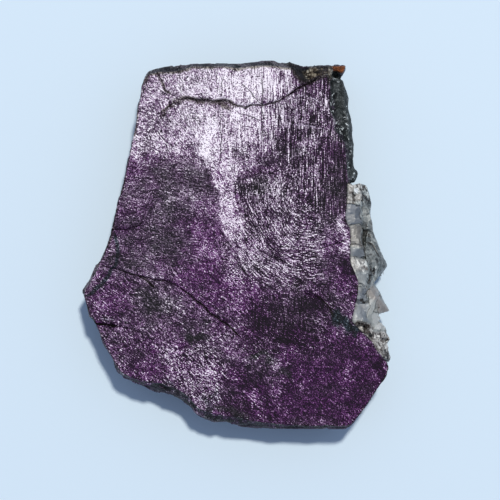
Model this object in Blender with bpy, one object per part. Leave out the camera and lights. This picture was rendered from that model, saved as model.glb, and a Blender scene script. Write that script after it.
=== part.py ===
"""Purpurite specimen, lying face up.

A slab of dark purple phosphate has one flat face, broken sides and a flat underside. White quartz has grown
along the lower right side. Places are in millimetres, X to the right and Y up the face, and become metres
with the middle of the whole specimen's box at X = Y = 0 and the underside at Z = 0.
"""

import random

import bmesh
import bpy
from mathutils import Vector

MM = 0.001

# Driving dimensions, in millimetres
THICKNESS = 8.0
BELLY_HEIGHT = 4.0
SHOULDER_HEIGHT = 7.0
COLUMN_SPACING = 0.62
SEAM_GAP = 0.3
BOX_MIDDLE = (0.03, 0.885)

# Heights of the rings that the walls are lofted through, from the face down to the underside
RING_HEIGHTS = (THICKNESS, 7.6, SHOULDER_HEIGHT, 6.1, 5.1, BELLY_HEIGHT, 2.9, 1.7, 0.7, 0.0)

# Broken walls: two sizes of facet. Each has its length along the wall, its rows of corners, and how far in and
# out the corners stand just below the face and at the foot.
FACETS = [
    (5.6, 4, (-0.1, 0.1), (-1.9, -0.1)),
    (2.3, 6, (-0.15, 0.15), (-0.8, 0.35)),
]
GRAIN_DEPTH = 0.06
SEEN_WALL_FREEDOM = 0.45
SEED = 11

# Stations round the slab, clockwise from the top left corner. Each has the edge of the flat face, the widest
# point of the wall below it, and how much of the way out the wall has come at the shoulder.
TOP_SIDE = [
    (-10.3, 18.5, -10.5, 18.9, 0.4),
    (-9.9, 19.0, -9.8, 20.3, 0.45),
    (-8.5, 19.3, -8.3, 20.8, 0.5),
    (-7.0, 19.35, -6.95, 21.0, 0.55),
    (-6.0, 19.6, -5.8, 21.1, 0.5),
    (-5.0, 19.95, -4.9, 21.3, 0.4),
    (-3.5, 19.95, -3.2, 21.1, 0.35),
    (-2.0, 20.0, -1.6, 21.15, 0.35),
    (0.0, 19.8, 0.4, 21.25, 0.5),
    (1.0, 20.0, 1.5, 21.3, 0.45),
    (3.0, 20.2, 3.4, 21.5, 0.4),
    (4.5, 20.05, 4.8, 21.3, 0.45),
    (5.9, 19.9, 6.2, 21.2, 0.5),
    (6.8, 19.9, 7.35, 20.95, 0.5),
    (8.3, 19.95, 8.4, 21.0, 0.45),
    (9.8, 20.1, 10.4, 21.2, 0.4),
    (10.9, 20.15, 11.6, 21.1, 0.35),
    (11.6, 19.95, 12.3, 20.8, 0.6),
]
RIGHT_RIM = [
    (11.2, 19.2, 11.95, 19.7, 0.6),
    (10.1, 18.4, 12.15, 18.8, 0.72),
    (10.2, 17.2, 12.6, 18.0, 0.7),
    (10.15, 16.2, 12.8, 17.3, 0.68),
    (10.1, 15.2, 12.75, 16.2, 0.7),
    (10.35, 14.4, 13.1, 15.0, 0.66),
    (10.55, 13.2, 13.2, 13.8, 0.62),
    (11.1, 12.3, 13.15, 12.6, 0.55),
    (11.8, 11.6, 13.15, 11.8, 0.5),
    (11.9, 10.0, 13.25, 10.6, 0.5),
    (12.0, 8.6, 13.4, 9.5, 0.45),
    (12.05, 7.9, 13.85, 8.7, 0.5),
    (12.05, 7.45, 13.45, 8.05, 0.5),
]
SEAM = [
    (12.05, 7.1),
    (12.0, 5.6),
    (11.9, 4.1),
    (11.75, 3.5),
    (12.0, 2.6),
    (12.3, 2.1),
    (12.35, 1.4),
    (12.3, -1.0),
    (12.45, -2.0),
    (12.85, -2.9),
    (13.15, -3.7),
    (13.15, -4.6),
    (12.95, -5.8),
    (12.4, -8.0),
    (13.2, -8.9),
    (14.0, -9.6),
    (14.7, -10.3),
    (15.05, -11.1),
    (15.6, -11.9),
]
LOWER_SIDE = [
    (16.1, -12.35, 16.15, -12.4, 0.5),
    (16.4, -13.0, 16.75, -13.1, 0.5),
    (16.1, -14.1, 16.4, -14.2, 0.5),
    (15.2, -15.3, 15.45, -15.4, 0.5),
    (14.3, -16.6, 14.5, -16.7, 0.5),
    (13.6, -17.6, 13.8, -17.7, 0.5),
    (13.0, -18.4, 13.2, -18.5, 0.5),
    (12.2, -19.25, 12.3, -19.5, 0.5),
    (11.5, -19.45, 11.5, -19.7, 0.5),
    (10.5, -19.45, 10.5, -19.75, 0.5),
    (9.5, -19.35, 9.5, -19.6, 0.5),
    (8.0, -19.45, 8.0, -19.75, 0.5),
    (6.0, -19.35, 6.1, -19.6, 0.5),
    (4.0, -19.2, 4.1, -19.5, 0.6),
    (2.2, -19.0, 2.3, -19.45, 0.7),
    (1.0, -18.8, 1.1, -19.35, 0.8),
    (0.0, -18.5, 0.1, -19.2, 0.85),
    (-1.5, -18.35, -1.4, -19.1, 0.85),
    (-2.6, -18.1, -2.5, -19.0, 0.85),
    (-3.6, -17.8, -3.6, -18.6, 0.8),
    (-4.3, -17.5, -4.4, -18.1, 0.7),
    (-4.8, -16.95, -4.95, -17.4, 0.6),
    (-5.4, -16.3, -5.4, -16.95, 0.8),
    (-6.2, -15.7, -6.3, -16.35, 0.85),
    (-7.2, -15.3, -7.2, -16.05, 0.8),
    (-8.2, -14.9, -8.2, -15.95, 0.45),
    (-9.4, -14.75, -9.2, -15.6, 0.4),
    (-10.2, -14.6, -10.0, -15.1, 0.4),
    (-11.0, -14.4, -11.0, -14.6, 0.5),
    (-12.3, -13.9, -12.4, -14.05, 0.5),
    (-12.95, -13.2, -13.1, -13.3, 0.5),
    (-13.3, -12.5, -13.4, -12.6, 0.5),
    (-14.0, -11.3, -14.1, -11.4, 0.5),
    (-14.7, -9.9, -14.8, -10.0, 0.5),
    (-15.1, -8.9, -15.2, -8.95, 0.5),
    (-15.55, -7.95, -15.7, -8.0, 0.5),
    (-16.0, -7.65, -16.15, -7.7, 0.5),
    (-16.3, -6.5, -16.45, -6.6, 0.5),
    (-16.65, -5.4, -16.85, -5.4, 0.6),
]
LEFT_SIDE = [
    (-16.55, -4.85, -17.2, -4.75, 0.9),
    (-16.0, -4.1, -16.75, -4.15, 0.95),
    (-15.6, -3.4, -16.3, -3.4, 0.95),
    (-15.3, -2.7, -15.8, -2.5, 0.9),
    (-15.0, -2.0, -15.15, -1.9, 0.7),
    (-14.6, -1.0, -14.7, -1.0, 0.5),
    (-14.2, 0.2, -14.3, 0.2, 0.5),
    (-13.9, 1.1, -14.0, 1.1, 0.5),
    (-13.5, 3.0, -13.6, 3.0, 0.5),
    (-13.0, 5.0, -13.1, 5.0, 0.5),
    (-12.5, 7.0, -12.6, 7.0, 0.5),
    (-12.05, 9.0, -12.15, 9.0, 0.5),
    (-11.75, 10.4, -11.9, 10.4, 0.5),
    (-11.45, 12.0, -11.6, 12.0, 0.5),
    (-11.1, 14.0, -11.25, 14.0, 0.5),
    (-11.0, 15.2, -11.15, 15.1, 0.5),
    (-10.75, 16.2, -10.95, 16.1, 0.5),
    (-10.6, 17.3, -10.8, 17.2, 0.5),
]

# Cracks cut into the face: points along the crack, its width on the face and its depth
CRACKS = {
    "main_crack": ([(-6.5, 15.95), (-5.8, 16.4), (-5.0, 16.3), (-3.5, 16.1), (-1.5, 16.1), (-0.3, 15.7),
                    (0.9, 15.4), (1.5, 15.7), (3.0, 15.75), (3.8, 15.9), (5.0, 16.6), (6.2, 17.2),
                    (6.7, 17.7), (7.6, 18.15), (8.9, 18.75)], 0.26, 0.7),
    "long_crack": ([(-15.1, -1.95), (-14.0, -2.4), (-12.0, -2.9), (-10.0, -3.5), (-8.0, -3.8), (-6.0, -4.6),
                    (-4.0, -6.4), (-2.0, -8.2), (-1.0, -8.9)], 0.2, 0.5),
    "lower_left_crack": ([(-15.35, -8.4), (-14.2, -8.5), (-13.0, -8.75), (-11.0, -9.2), (-10.0, -9.6)],
                         0.22, 0.5),
    "left_crack": ([(-13.7, 1.95), (-12.6, 1.7), (-12.0, 1.7), (-11.0, 2.2), (-10.3, 2.8)], 0.18, 0.4),
    "right_crack": ([(12.25, 0.9), (11.0, 0.4), (10.0, 0.2), (8.9, -0.3)], 0.16, 0.4),
}
CRACK_RISE = 0.4

# Broken top right corner: a chip with one flat facet, a crusted ledge and a dark pocket below its lip
CHIP = [(6.05, 20.0, 8.3), (6.5, 18.95, 8.3), (7.35, 18.2, 8.3), (8.1, 18.3, 8.3), (7.4, 19.6, 8.3),
        (7.2, 22.5, 8.3), (5.3, 22.5, 8.3), (6.6, 19.5, 7.5), (7.4, 18.8, 7.6), (6.3, 22.5, 4.2),
        (7.6, 22.5, 4.8)]
CRUST_OUTLINE = [(7.2, 22.0, 7.2), (7.25, 19.9, 7.35), (7.85, 18.5, 7.55), (9.0, 19.0, 7.5),
                 (9.9, 19.3, 7.4), (10.1, 18.75, 7.3), (12.6, 18.75, 7.2), (12.9, 22.0, 7.0)]
POCKET = [(10.15, 19.05, 8.4), (10.35, 19.85, 8.4), (11.3, 19.7, 8.4), (12.4, 19.55, 8.4), (12.4, 19.0, 8.4),
          (10.6, 18.6, 8.4), (10.6, 19.15, 5.6), (11.2, 19.5, 5.4), (12.4, 19.35, 5.0), (12.4, 18.95, 5.2)]
CUTTER_TOP = 9.0

# Quartz crystals: the corners of each block, blade or point. They reach past the seam, which trims them.
UPPER_QUARTZ = {
    "upper_root": [(11.4, 7.3, 0.0), (14.2, 7.1, 0.6), (15.2, 3.0, 0.8), (16.3, -1.2, 0.8), (15.0, -4.2, 0.0),
                   (11.4, -4.2, 0.0), (11.4, 6.9, 6.4), (13.9, 6.6, 5.9), (14.6, 3.0, 5.6), (15.6, -1.2, 5.2),
                   (14.8, -3.9, 5.6), (11.4, -3.9, 6.2)],
    "north_block": [(11.4, 7.6, 0.0), (13.9, 7.5, 0.0), (14.9, 6.4, 0.0), (14.9, 4.4, 0.0), (11.4, 4.4, 0.0),
                    (11.4, 7.5, 7.2), (12.7, 7.25, 7.3), (13.6, 7.2, 6.9), (13.7, 5.9, 7.2),
                    (13.6, 4.6, 7.3), (11.4, 4.6, 7.5)],
    "north_shoulder": [(13.2, 7.4, 6.6), (14.2, 7.1, 6.4), (14.6, 6.7, 5.4), (14.75, 5.6, 6.3),
                       (14.8, 4.2, 6.2), (13.7, 4.6, 6.9), (13.9, 6.0, 7.0), (13.3, 7.2, 3.0),
                       (15.0, 6.3, 2.5), (15.1, 4.0, 2.5), (13.4, 4.2, 2.5)],
    "smooth_plate": [(11.4, 5.0, 0.0), (14.3, 5.0, 0.0), (14.5, 2.3, 0.0), (11.4, 2.3, 0.0),
                     (11.4, 4.85, 7.8), (13.45, 4.75, 7.7), (13.75, 3.7, 7.3), (13.6, 2.7, 7.5),
                     (11.4, 2.55, 7.75)],
    "middle_ridge": [(13.4, 4.9, 2.0), (15.1, 4.6, 1.5), (15.4, 1.8, 1.5), (13.6, 2.0, 2.0),
                     (13.4, 4.8, 6.9), (14.4, 4.5, 6.8), (14.75, 3.2, 6.6), (15.0, 2.1, 6.0),
                     (13.8, 2.2, 6.4)],
    "second_plate": [(11.4, 3.0, 0.0), (14.2, 2.9, 0.0), (14.4, -0.2, 0.0), (11.4, -0.2, 0.0),
                     (11.4, 2.9, 7.5), (13.6, 2.8, 7.4), (13.8, 1.2, 7.0), (13.75, 0.1, 7.3),
                     (11.4, 0.05, 7.6)],
    "third_plate": [(11.4, 0.5, 0.0), (14.5, 0.4, 0.0), (14.7, -1.8, 0.0), (11.4, -1.8, 0.0),
                    (11.4, 0.4, 7.7), (13.85, 0.3, 7.5), (14.05, -0.8, 7.3), (11.4, -1.7, 7.55)],
    "south_ridge": [(13.9, 2.9, 1.5), (15.3, 2.5, 2.0), (16.3, -0.2, 1.5), (16.95, -1.5, 1.5),
                    (16.7, -2.6, 1.5), (14.4, -3.4, 0.0), (13.95, 2.6, 5.9), (15.0, 2.2, 5.7),
                    (14.15, 0.7, 6.5), (15.2, 0.0, 5.9), (16.1, -0.9, 5.6), (16.65, -1.6, 5.2),
                    (15.6, -1.4, 6.5), (14.2, -1.6, 6.9), (15.2, -3.3, 5.8)],
    "south_blade": [(11.6, -1.0, 0.0), (14.9, -1.2, 0.0), (15.6, -3.3, 0.0), (14.7, -4.4, 0.0),
                    (12.6, -4.2, 0.0), (11.6, -1.1, 7.6), (13.95, -1.15, 7.4), (14.55, -2.6, 7.0),
                    (15.3, -3.2, 6.0), (14.75, -4.25, 6.3), (13.95, -4.1, 7.1), (12.6, -3.2, 7.7)],
}
LOWER_QUARTZ = {
    "lower_root": [(11.4, -3.9, 0.0), (15.0, -3.9, 0.0), (15.9, -8.3, 0.6), (16.5, -11.6, 0.6),
                   (15.2, -12.0, 0.0), (11.4, -8.4, 0.0), (11.4, -4.1, 6.4), (14.7, -4.3, 5.8),
                   (15.4, -8.2, 5.2), (16.3, -11.4, 4.9), (15.2, -11.5, 5.6), (11.4, -8.2, 6.6)],
    "seam_block": [(12.6, -3.6, 0.0), (14.9, -3.6, 0.0), (14.9, -6.4, 0.0), (12.2, -6.4, 0.0),
                   (12.6, -3.8, 6.9), (14.1, -4.0, 6.8), (14.75, -4.6, 6.3), (14.4, -5.4, 6.2),
                   (13.5, -6.2, 6.7), (12.2, -6.3, 7.2)],
    "spike": [(13.9, -4.0, 0.0), (15.6, -3.8, 0.6), (16.1, -6.2, 1.6), (15.8, -7.3, 0.6), (13.9, -7.2, 0.0),
              (14.6, -4.5, 6.5), (15.2, -3.8, 5.6), (15.75, -4.4, 5.0), (16.05, -5.3, 4.9),
              (16.9, -6.65, 4.9), (15.6, -6.95, 5.7), (15.3, -5.3, 6.6), (14.4, -6.2, 6.9)],
    "middle_block": [(12.0, -6.0, 0.0), (15.3, -6.3, 0.0), (16.1, -8.0, 1.0), (14.6, -8.8, 0.0),
                     (12.0, -8.6, 0.0), (12.0, -6.1, 7.2), (14.3, -6.0, 7.0), (15.5, -6.9, 6.1),
                     (15.8, -7.7, 5.6), (14.6, -8.4, 6.5), (13.6, -8.0, 7.2), (12.0, -8.3, 7.0)],
    "brown_point": [(13.6, -7.9, 0.0), (16.2, -8.0, 1.0), (17.0, -9.8, 1.6), (16.4, -10.4, 0.6),
                    (13.9, -10.0, 0.0), (14.2, -8.0, 6.8), (15.9, -8.0, 5.9), (16.5, -8.8, 5.6),
                    (16.95, -9.8, 5.0), (16.6, -10.2, 4.9), (15.4, -9.9, 6.2), (14.1, -9.4, 6.7)],
    "grainy_block": [(13.9, -9.6, 0.0), (16.4, -10.1, 0.6), (16.9, -11.6, 1.2), (15.6, -12.0, 0.0),
                     (14.0, -9.5, 6.4), (15.4, -9.8, 6.2), (16.6, -10.4, 5.4), (16.7, -11.3, 5.0),
                     (15.8, -11.7, 6.0), (14.9, -11.0, 6.5)],
    "foot_point": [(15.0, -11.1, 0.0), (16.7, -11.0, 1.0), (17.0, -12.05, 1.6), (16.6, -12.2, 0.8),
                   (15.2, -11.2, 6.2), (16.7, -11.3, 5.2), (17.0, -12.0, 4.6), (16.75, -12.25, 4.4),
                   (16.0, -11.9, 5.8)],
}
GROOVE_BETWEEN_PLATES = [(13.75, 2.5, 8.4), (14.35, 2.3, 8.4), (14.2, -0.9, 8.4), (13.9, -0.9, 8.4),
                         (14.0, 2.2, 4.9), (14.1, 0.8, 4.8), (14.05, -0.6, 6.2)]
SEAM_PIT = [(13.35, -5.9, 8.4), (13.8, -5.45, 8.4), (14.15, -6.05, 8.4), (13.7, -5.8, 5.7)]

# Colours of the two minerals
PURPLE = (0.075, 0.035, 0.085, 1.0)
QUARTZ_GREY = (0.62, 0.63, 0.6, 1.0)


def clear_scene():
    for old in list(bpy.data.objects):
        bpy.data.objects.remove(old, do_unlink=True)


def new_collection(name):
    collection = bpy.data.collections.new(name)
    bpy.context.scene.collection.children.link(collection)
    return collection


def new_material(name, colour, roughness, metallic, transmission, ior):
    material = bpy.data.materials.new(name)
    material.use_nodes = True
    shader = material.node_tree.nodes["Principled BSDF"]
    shader.inputs["Base Color"].default_value = colour
    shader.inputs["Roughness"].default_value = roughness
    shader.inputs["Metallic"].default_value = metallic
    shader.inputs["Transmission Weight"].default_value = transmission
    shader.inputs["IOR"].default_value = ior
    return material


def place(x, y, z):
    """A place in millimetres as metres from the middle of the box."""
    return Vector(((x - BOX_MIDDLE[0]) * MM, (y - BOX_MIDDLE[1]) * MM, z * MM))


def new_object(name, shape, collection):
    """An object from a bmesh, with its faces pointing out."""
    bmesh.ops.recalc_face_normals(shape, faces=shape.faces[:])
    mesh = bpy.data.meshes.new(name)
    shape.to_mesh(mesh)
    shape.free()
    obj = bpy.data.objects.new(name, mesh)
    collection.objects.link(obj)
    return obj


def as_tool(obj):
    """Mark an object as one that only cuts or joins another."""
    obj.hide_render = True
    obj.display_type = "WIRE"
    return obj


def hull(name, corners, collection):
    """A block with flat faces round a few corners."""
    shape = bmesh.new()
    for corner in corners:
        shape.verts.new(place(*corner))
    result = bmesh.ops.convex_hull(shape, input=shape.verts[:])
    inside = set(result["geom_interior"]) | set(result["geom_unused"])
    bmesh.ops.delete(shape, geom=[item for item in inside if isinstance(item, bmesh.types.BMVert)],
                     context="VERTS")
    return as_tool(new_object(name, shape, collection))


def combine(target, tool, operation):
    modifier = target.modifiers.new(tool.name, "BOOLEAN")
    modifier.operation = operation
    modifier.solver = "EXACT"
    modifier.object = tool


def loft(rings):
    """A closed body through rings of places, each with the same number of them."""
    shape = bmesh.new()
    layers = [[shape.verts.new(place(*point)) for point in ring] for ring in rings]
    count = len(rings[0])
    for upper, lower in zip(layers, layers[1:]):
        for i in range(count):
            j = (i + 1) % count
            shape.faces.new((upper[i], upper[j], lower[j], lower[i]))
    caps = [shape.faces.new(layers[0]), shape.faces.new(layers[-1])]
    bmesh.ops.triangulate(shape, faces=caps)
    return shape


def slab_stations():
    seam = [(x, y, x, y, 0.5) for x, y in SEAM]
    return TOP_SIDE + RIGHT_RIM + seam + LOWER_SIDE + LEFT_SIDE


def wall_columns():
    """Stations filled in so that neighbours are about one column spacing apart, with how free each is to
    stand in and out: less on the sides whose outline shows from above, and not at all along the seam."""
    stations = slab_stations()
    first_seam = len(TOP_SIDE) + len(RIGHT_RIM)
    last_seam = first_seam + len(SEAM) - 1
    freedom = [SEEN_WALL_FREEDOM] * first_seam + [0.0] * len(SEAM) + [1.0] * (len(stations) - last_seam - 1)
    columns = []
    for index, start in enumerate(stations):
        end = stations[(index + 1) % len(stations)]
        length = (Vector(end[2:4]) - Vector(start[2:4])).length
        steps = max(1, round(length / COLUMN_SPACING))
        for step in range(steps):
            part = step / steps
            column = [a + (b - a) * part for a, b in zip(start, end)]
            columns.append(column + [freedom[index]])
    return columns


def outward_directions(columns):
    """Level directions out of the wall, smoothed over a few columns."""
    count = len(columns)
    reach = 3
    directions = []
    for i in range(count):
        before = Vector(columns[(i - reach) % count][2:4])
        after = Vector(columns[(i + reach) % count][2:4])
        along = (after - before).normalized()
        directions.append(Vector((-along.y, along.x)))
    return directions


def facet_layer(count, perimeter, facet, rng):
    """How far the wall stands out at each ring and column: flat facets between rows of seeded corners."""
    length, rows, at_face, at_foot = facet
    across = round(perimeter / length)
    corners = []
    for row in range(rows):
        down = (row / (rows - 1)) ** 2
        low, high = (a + (b - a) * down for a, b in zip(at_face, at_foot))
        corners.append([rng.uniform(low, high) for _ in range(across)])

    def along_row(row, station):
        shifted = (station + 0.5 * (row % 2)) % across
        cell = int(shifted)
        part = shifted - cell
        return corners[row][cell] * (1 - part) + corners[row][(cell + 1) % across] * part

    layer = []
    for height in RING_HEIGHTS:
        level = (1 - height / THICKNESS) * (rows - 1)
        row = min(int(level), rows - 2)
        part = level - row
        stations = [i / count * across for i in range(count)]
        layer.append([along_row(row, at) * (1 - part) + along_row(row + 1, at) * part for at in stations])
    return layer


def wall_offsets(columns, rng):
    """The two sizes of facet and a little grain, added up at each ring and column."""
    count = len(columns)
    perimeter = sum((Vector(a[2:4]) - Vector(b[2:4])).length for a, b in zip(columns, columns[1:]))
    layers = [facet_layer(count, perimeter, facet, rng) for facet in FACETS]
    offsets = []
    for ring in zip(*layers):
        offsets.append([sum(parts) + rng.uniform(-GRAIN_DEPTH, GRAIN_DEPTH) for parts in zip(*ring)])
    return offsets


def way_out(height, shoulder):
    """How much of the way from the face's edge to the widest point the wall has come at a height: it drops
    steeply from the edge, then runs out to the shoulder."""
    if height >= SHOULDER_HEIGHT:
        return shoulder * ((THICKNESS - height) / (THICKNESS - SHOULDER_HEIGHT)) ** 2
    if height >= BELLY_HEIGHT:
        return shoulder + (1 - shoulder) * (SHOULDER_HEIGHT - height) / (SHOULDER_HEIGHT - BELLY_HEIGHT)
    return 1.0


def slab_rings():
    rng = random.Random(SEED)
    columns = wall_columns()
    directions = outward_directions(columns)
    offsets = wall_offsets(columns, rng)
    rings = []
    for height, ring_offsets in zip(RING_HEIGHTS, offsets):
        below_face = min(1.0, (THICKNESS - height) / (THICKNESS - SHOULDER_HEIGHT))
        ring = []
        for column, direction, offset in zip(columns, directions, ring_offsets):
            face_edge, widest = Vector(column[0:2]), Vector(column[2:4])
            shoulder, free = column[4], column[5]
            point = face_edge.lerp(widest, way_out(height, shoulder))
            point += direction * free * offset * below_face
            ring.append((point.x, point.y, height))
        rings.append(ring)
    return rings


def crack_tool(name, path, width, depth, collection):
    """A wedge along a crack that narrows to nothing at both ends."""
    last = len(path) - 1
    shape = bmesh.new()
    sections = []
    for i, point in enumerate(path):
        along = Vector(path[min(i + 1, last)]) - Vector(path[max(i - 1, 0)])
        side = Vector((-along.y, along.x)).normalized()
        fullness = 0.35 if i in (0, last) else 1.0
        half = side * width * fullness * (1 + CRACK_RISE / depth) / 2
        deepest = THICKNESS - depth * fullness
        corners = [(point[0] + half.x, point[1] + half.y, THICKNESS + CRACK_RISE),
                   (point[0] - half.x, point[1] - half.y, THICKNESS + CRACK_RISE),
                   (point[0], point[1], deepest)]
        sections.append([shape.verts.new(place(*corner)) for corner in corners])
    for one, other in zip(sections, sections[1:]):
        for i in range(3):
            j = (i + 1) % 3
            shape.faces.new((one[i], one[j], other[j], other[i]))
    shape.faces.new(sections[0])
    shape.faces.new(sections[-1])
    bmesh.ops.triangulate(shape, faces=shape.faces[:])
    return as_tool(new_object(name, shape, collection))


def ledge_tool(name, outline, collection):
    """A column over an outline, down to the height that each of its points gives."""
    top = [(x, y, CUTTER_TOP) for x, y, _ in outline]
    return as_tool(new_object(name, loft([top, outline]), collection))


def make_slab(parts, tools, material):
    slab = new_object("purpurite_slab", loft(slab_rings()), parts)
    slab.data.materials.append(material)
    combine(slab, ledge_tool("corner_crust", CRUST_OUTLINE, tools), "DIFFERENCE")
    combine(slab, hull("corner_chip", CHIP, tools), "DIFFERENCE")
    combine(slab, hull("corner_pocket", POCKET, tools), "DIFFERENCE")
    for name, (path, width, depth) in CRACKS.items():
        combine(slab, crack_tool(name, path, width, depth, tools), "DIFFERENCE")
    return slab


def seam_tool(collection):
    """The slab's side of the seam and a gap beyond it, as one upright column."""
    line = [(14.6, 8.6), (13.5, 7.55), (12.4, 7.25)] + SEAM + [(16.2, -12.3), (17.6, -12.6)]
    shifted = []
    for i, point in enumerate(line):
        along = Vector(line[min(i + 1, len(line) - 1)]) - Vector(line[max(i - 1, 0)])
        out = Vector((-along.y, along.x)).normalized()
        shifted.append(Vector(point) + out * SEAM_GAP)
    far_side = [(17.6, -16.0), (4.0, -16.0), (4.0, 10.0), (14.6, 10.0)]
    outline = [(p[0], p[1]) for p in shifted] + far_side
    rings = [[(x, y, height) for x, y in outline] for height in (CUTTER_TOP, -1.0)]
    return as_tool(new_object("seam", loft(rings), collection))


def make_quartz(parts, tools, material):
    corners = UPPER_QUARTZ | LOWER_QUARTZ
    first, *others = corners
    quartz = hull("quartz_rim", corners[first], parts)
    quartz.hide_render = False
    quartz.display_type = "TEXTURED"
    quartz.data.materials.append(material)
    for name in others:
        combine(quartz, hull(name, corners[name], tools), "UNION")
    combine(quartz, hull("plate_groove", GROOVE_BETWEEN_PLATES, tools), "DIFFERENCE")
    combine(quartz, hull("seam_pit", SEAM_PIT, tools), "DIFFERENCE")
    combine(quartz, seam_tool(tools), "DIFFERENCE")
    return quartz


def main():
    clear_scene()
    parts = new_collection("purpurite_specimen")
    tools = new_collection("cutters")
    purple = new_material("purpurite", PURPLE, 0.45, 0.2, 0.0, 1.86)
    white = new_material("quartz", QUARTZ_GREY, 0.25, 0.0, 0.3, 1.544)
    make_slab(parts, tools, purple)
    make_quartz(parts, tools, white)


main()
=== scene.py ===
import itertools
import math

import bmesh
import bpy
import numpy as np
from mathutils import Matrix, Vector
from mathutils.bvhtree import BVHTree
from mathutils.kdtree import KDTree


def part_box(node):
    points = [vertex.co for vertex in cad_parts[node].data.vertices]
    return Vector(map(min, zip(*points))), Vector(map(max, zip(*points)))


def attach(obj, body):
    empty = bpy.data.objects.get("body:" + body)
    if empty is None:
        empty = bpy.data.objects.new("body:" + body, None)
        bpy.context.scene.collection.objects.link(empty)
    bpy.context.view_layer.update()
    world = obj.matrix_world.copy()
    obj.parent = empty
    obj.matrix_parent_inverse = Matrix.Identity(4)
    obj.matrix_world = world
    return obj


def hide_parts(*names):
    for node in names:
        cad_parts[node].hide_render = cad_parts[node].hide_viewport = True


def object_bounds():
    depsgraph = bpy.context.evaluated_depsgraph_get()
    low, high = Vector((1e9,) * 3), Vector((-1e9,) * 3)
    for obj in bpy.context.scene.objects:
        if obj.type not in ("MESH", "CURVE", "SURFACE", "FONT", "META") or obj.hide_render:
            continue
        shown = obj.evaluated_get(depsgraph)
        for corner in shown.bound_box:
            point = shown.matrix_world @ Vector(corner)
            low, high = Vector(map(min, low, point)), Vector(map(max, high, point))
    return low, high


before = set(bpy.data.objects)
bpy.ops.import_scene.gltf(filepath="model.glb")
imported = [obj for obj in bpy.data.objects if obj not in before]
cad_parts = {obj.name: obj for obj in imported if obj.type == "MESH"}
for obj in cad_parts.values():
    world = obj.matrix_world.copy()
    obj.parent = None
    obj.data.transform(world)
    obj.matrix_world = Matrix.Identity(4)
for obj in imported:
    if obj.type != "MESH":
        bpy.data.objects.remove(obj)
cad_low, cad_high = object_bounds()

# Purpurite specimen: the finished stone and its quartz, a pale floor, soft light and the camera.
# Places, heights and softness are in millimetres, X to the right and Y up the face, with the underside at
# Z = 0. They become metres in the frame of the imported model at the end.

STONE_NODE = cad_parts["purpurite_slab"]
QUARTZ_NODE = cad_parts["quartz_rim"]

MM = 0.001
BOX_MIDDLE = Vector((0.03, 0.885, 0.0))
TO_MM = Matrix.Translation(BOX_MIDDLE) @ Matrix.Scale(1 / MM, 4)
THICKNESS = 8.0
STONE_GRID = 0.17
QUARTZ_GRID = 0.088
CRACK_REACH = 0.42
SEAM_REACH = 1.2
SHARP_ANGLE = math.radians(28)

# The floor, a lamp almost overhead and the light all round. Sizes and distances here are in metres.
FLOOR_REACH = 1.5
FLOOR_DROP = 0.00002
FLOOR_COLOUR = (0.70, 0.83, 0.93, 1.0)
LAMP_TOWARD = Vector((0.06, 0.19, 0.98))
LAMP_DISTANCE = 0.6
LAMP_SIZE = 0.045
LAMP_WATTS = 2.65
LAMP_COLOUR = (1.0, 0.965, 0.89)
WORLD_COLOUR = (0.54, 0.67, 0.95, 1.0)
WORLD_STRENGTH = 0.42

# The camera, as the photograph was taken: where it stands, the way it looks and the way up
EYE = Vector((-9.407, -23.473, 194.848))
LOOK = Vector((0.05681, 0.12249, -0.99084))
CAMERA_UP = Vector((-0.00701, 0.99247, 0.12229))
LENS_MM = 125.0
SENSOR_MM = 36.0


# Repeatable noise

def lattice(cells, seed):
    """Random numbers from 0 to 1, always the same for the same whole-number cell and seed."""
    x, y, z = cells.astype(np.int64).T
    mixed = (x * 73856093) ^ (y * 19349663) ^ (z * 83492791) ^ (seed * 2654435)
    mixed = ((mixed ^ (mixed >> 13)) * 1274126177) & 0xFFFFFFFF
    mixed = ((mixed ^ (mixed >> 15)) * 2246822519) & 0xFFFFFFFF
    return ((mixed ^ (mixed >> 16)) & 0xFFFFFF) / 0xFFFFFF


def noise(points, size, seed):
    """Smooth noise from -1 to 1 with bumps about as wide as the size."""
    scaled = points / size
    cell = np.floor(scaled)
    part = scaled - cell
    part = part * part * (3 - 2 * part)
    total = np.zeros(len(points))
    for corner in itertools.product((0, 1), repeat=3):
        weight = np.prod(np.where(corner, part, 1 - part), axis=1)
        total += weight * lattice(cell + corner, seed)
    return 2 * total - 1


def layered(points, size, seed, layers=3):
    """Noise with finer, fainter noise on it."""
    sizes = [(size / 2 ** i, 0.5 ** i) for i in range(layers)]
    return sum(noise(points, s, seed + i) * part for i, (s, part) in enumerate(sizes))


def broken(points, size, seed):
    """Flat tilted facets about as wide as the size, as on a fresh break: heights from about -1 to 1."""
    scaled = points / size
    base = np.floor(scaled)
    nearest = np.full(len(points), 9.0)
    height = np.zeros(len(points))
    for shift in itertools.product((-1, 0, 1), repeat=3):
        cell = base + shift
        centre = cell + np.stack([lattice(cell, seed + i) for i in range(3)], axis=1)
        tilt = np.stack([lattice(cell, seed + 3 + i) for i in range(3)], axis=1) * 2 - 1
        away = scaled - centre
        distance = (away * away).sum(axis=1)
        plane = (away * tilt).sum(axis=1) + lattice(cell, seed + 6) - 0.5
        height = np.where(distance < nearest, plane, height)
        nearest = np.minimum(nearest, distance)
    return height


def ease(value, low, high):
    """0 at low, 1 at high, and smooth between them. Low may be the larger."""
    part = np.clip((value - low) / (high - low), 0, 1)
    return part * part * (3 - 2 * part)


# Outlines and lines on the face

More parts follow.
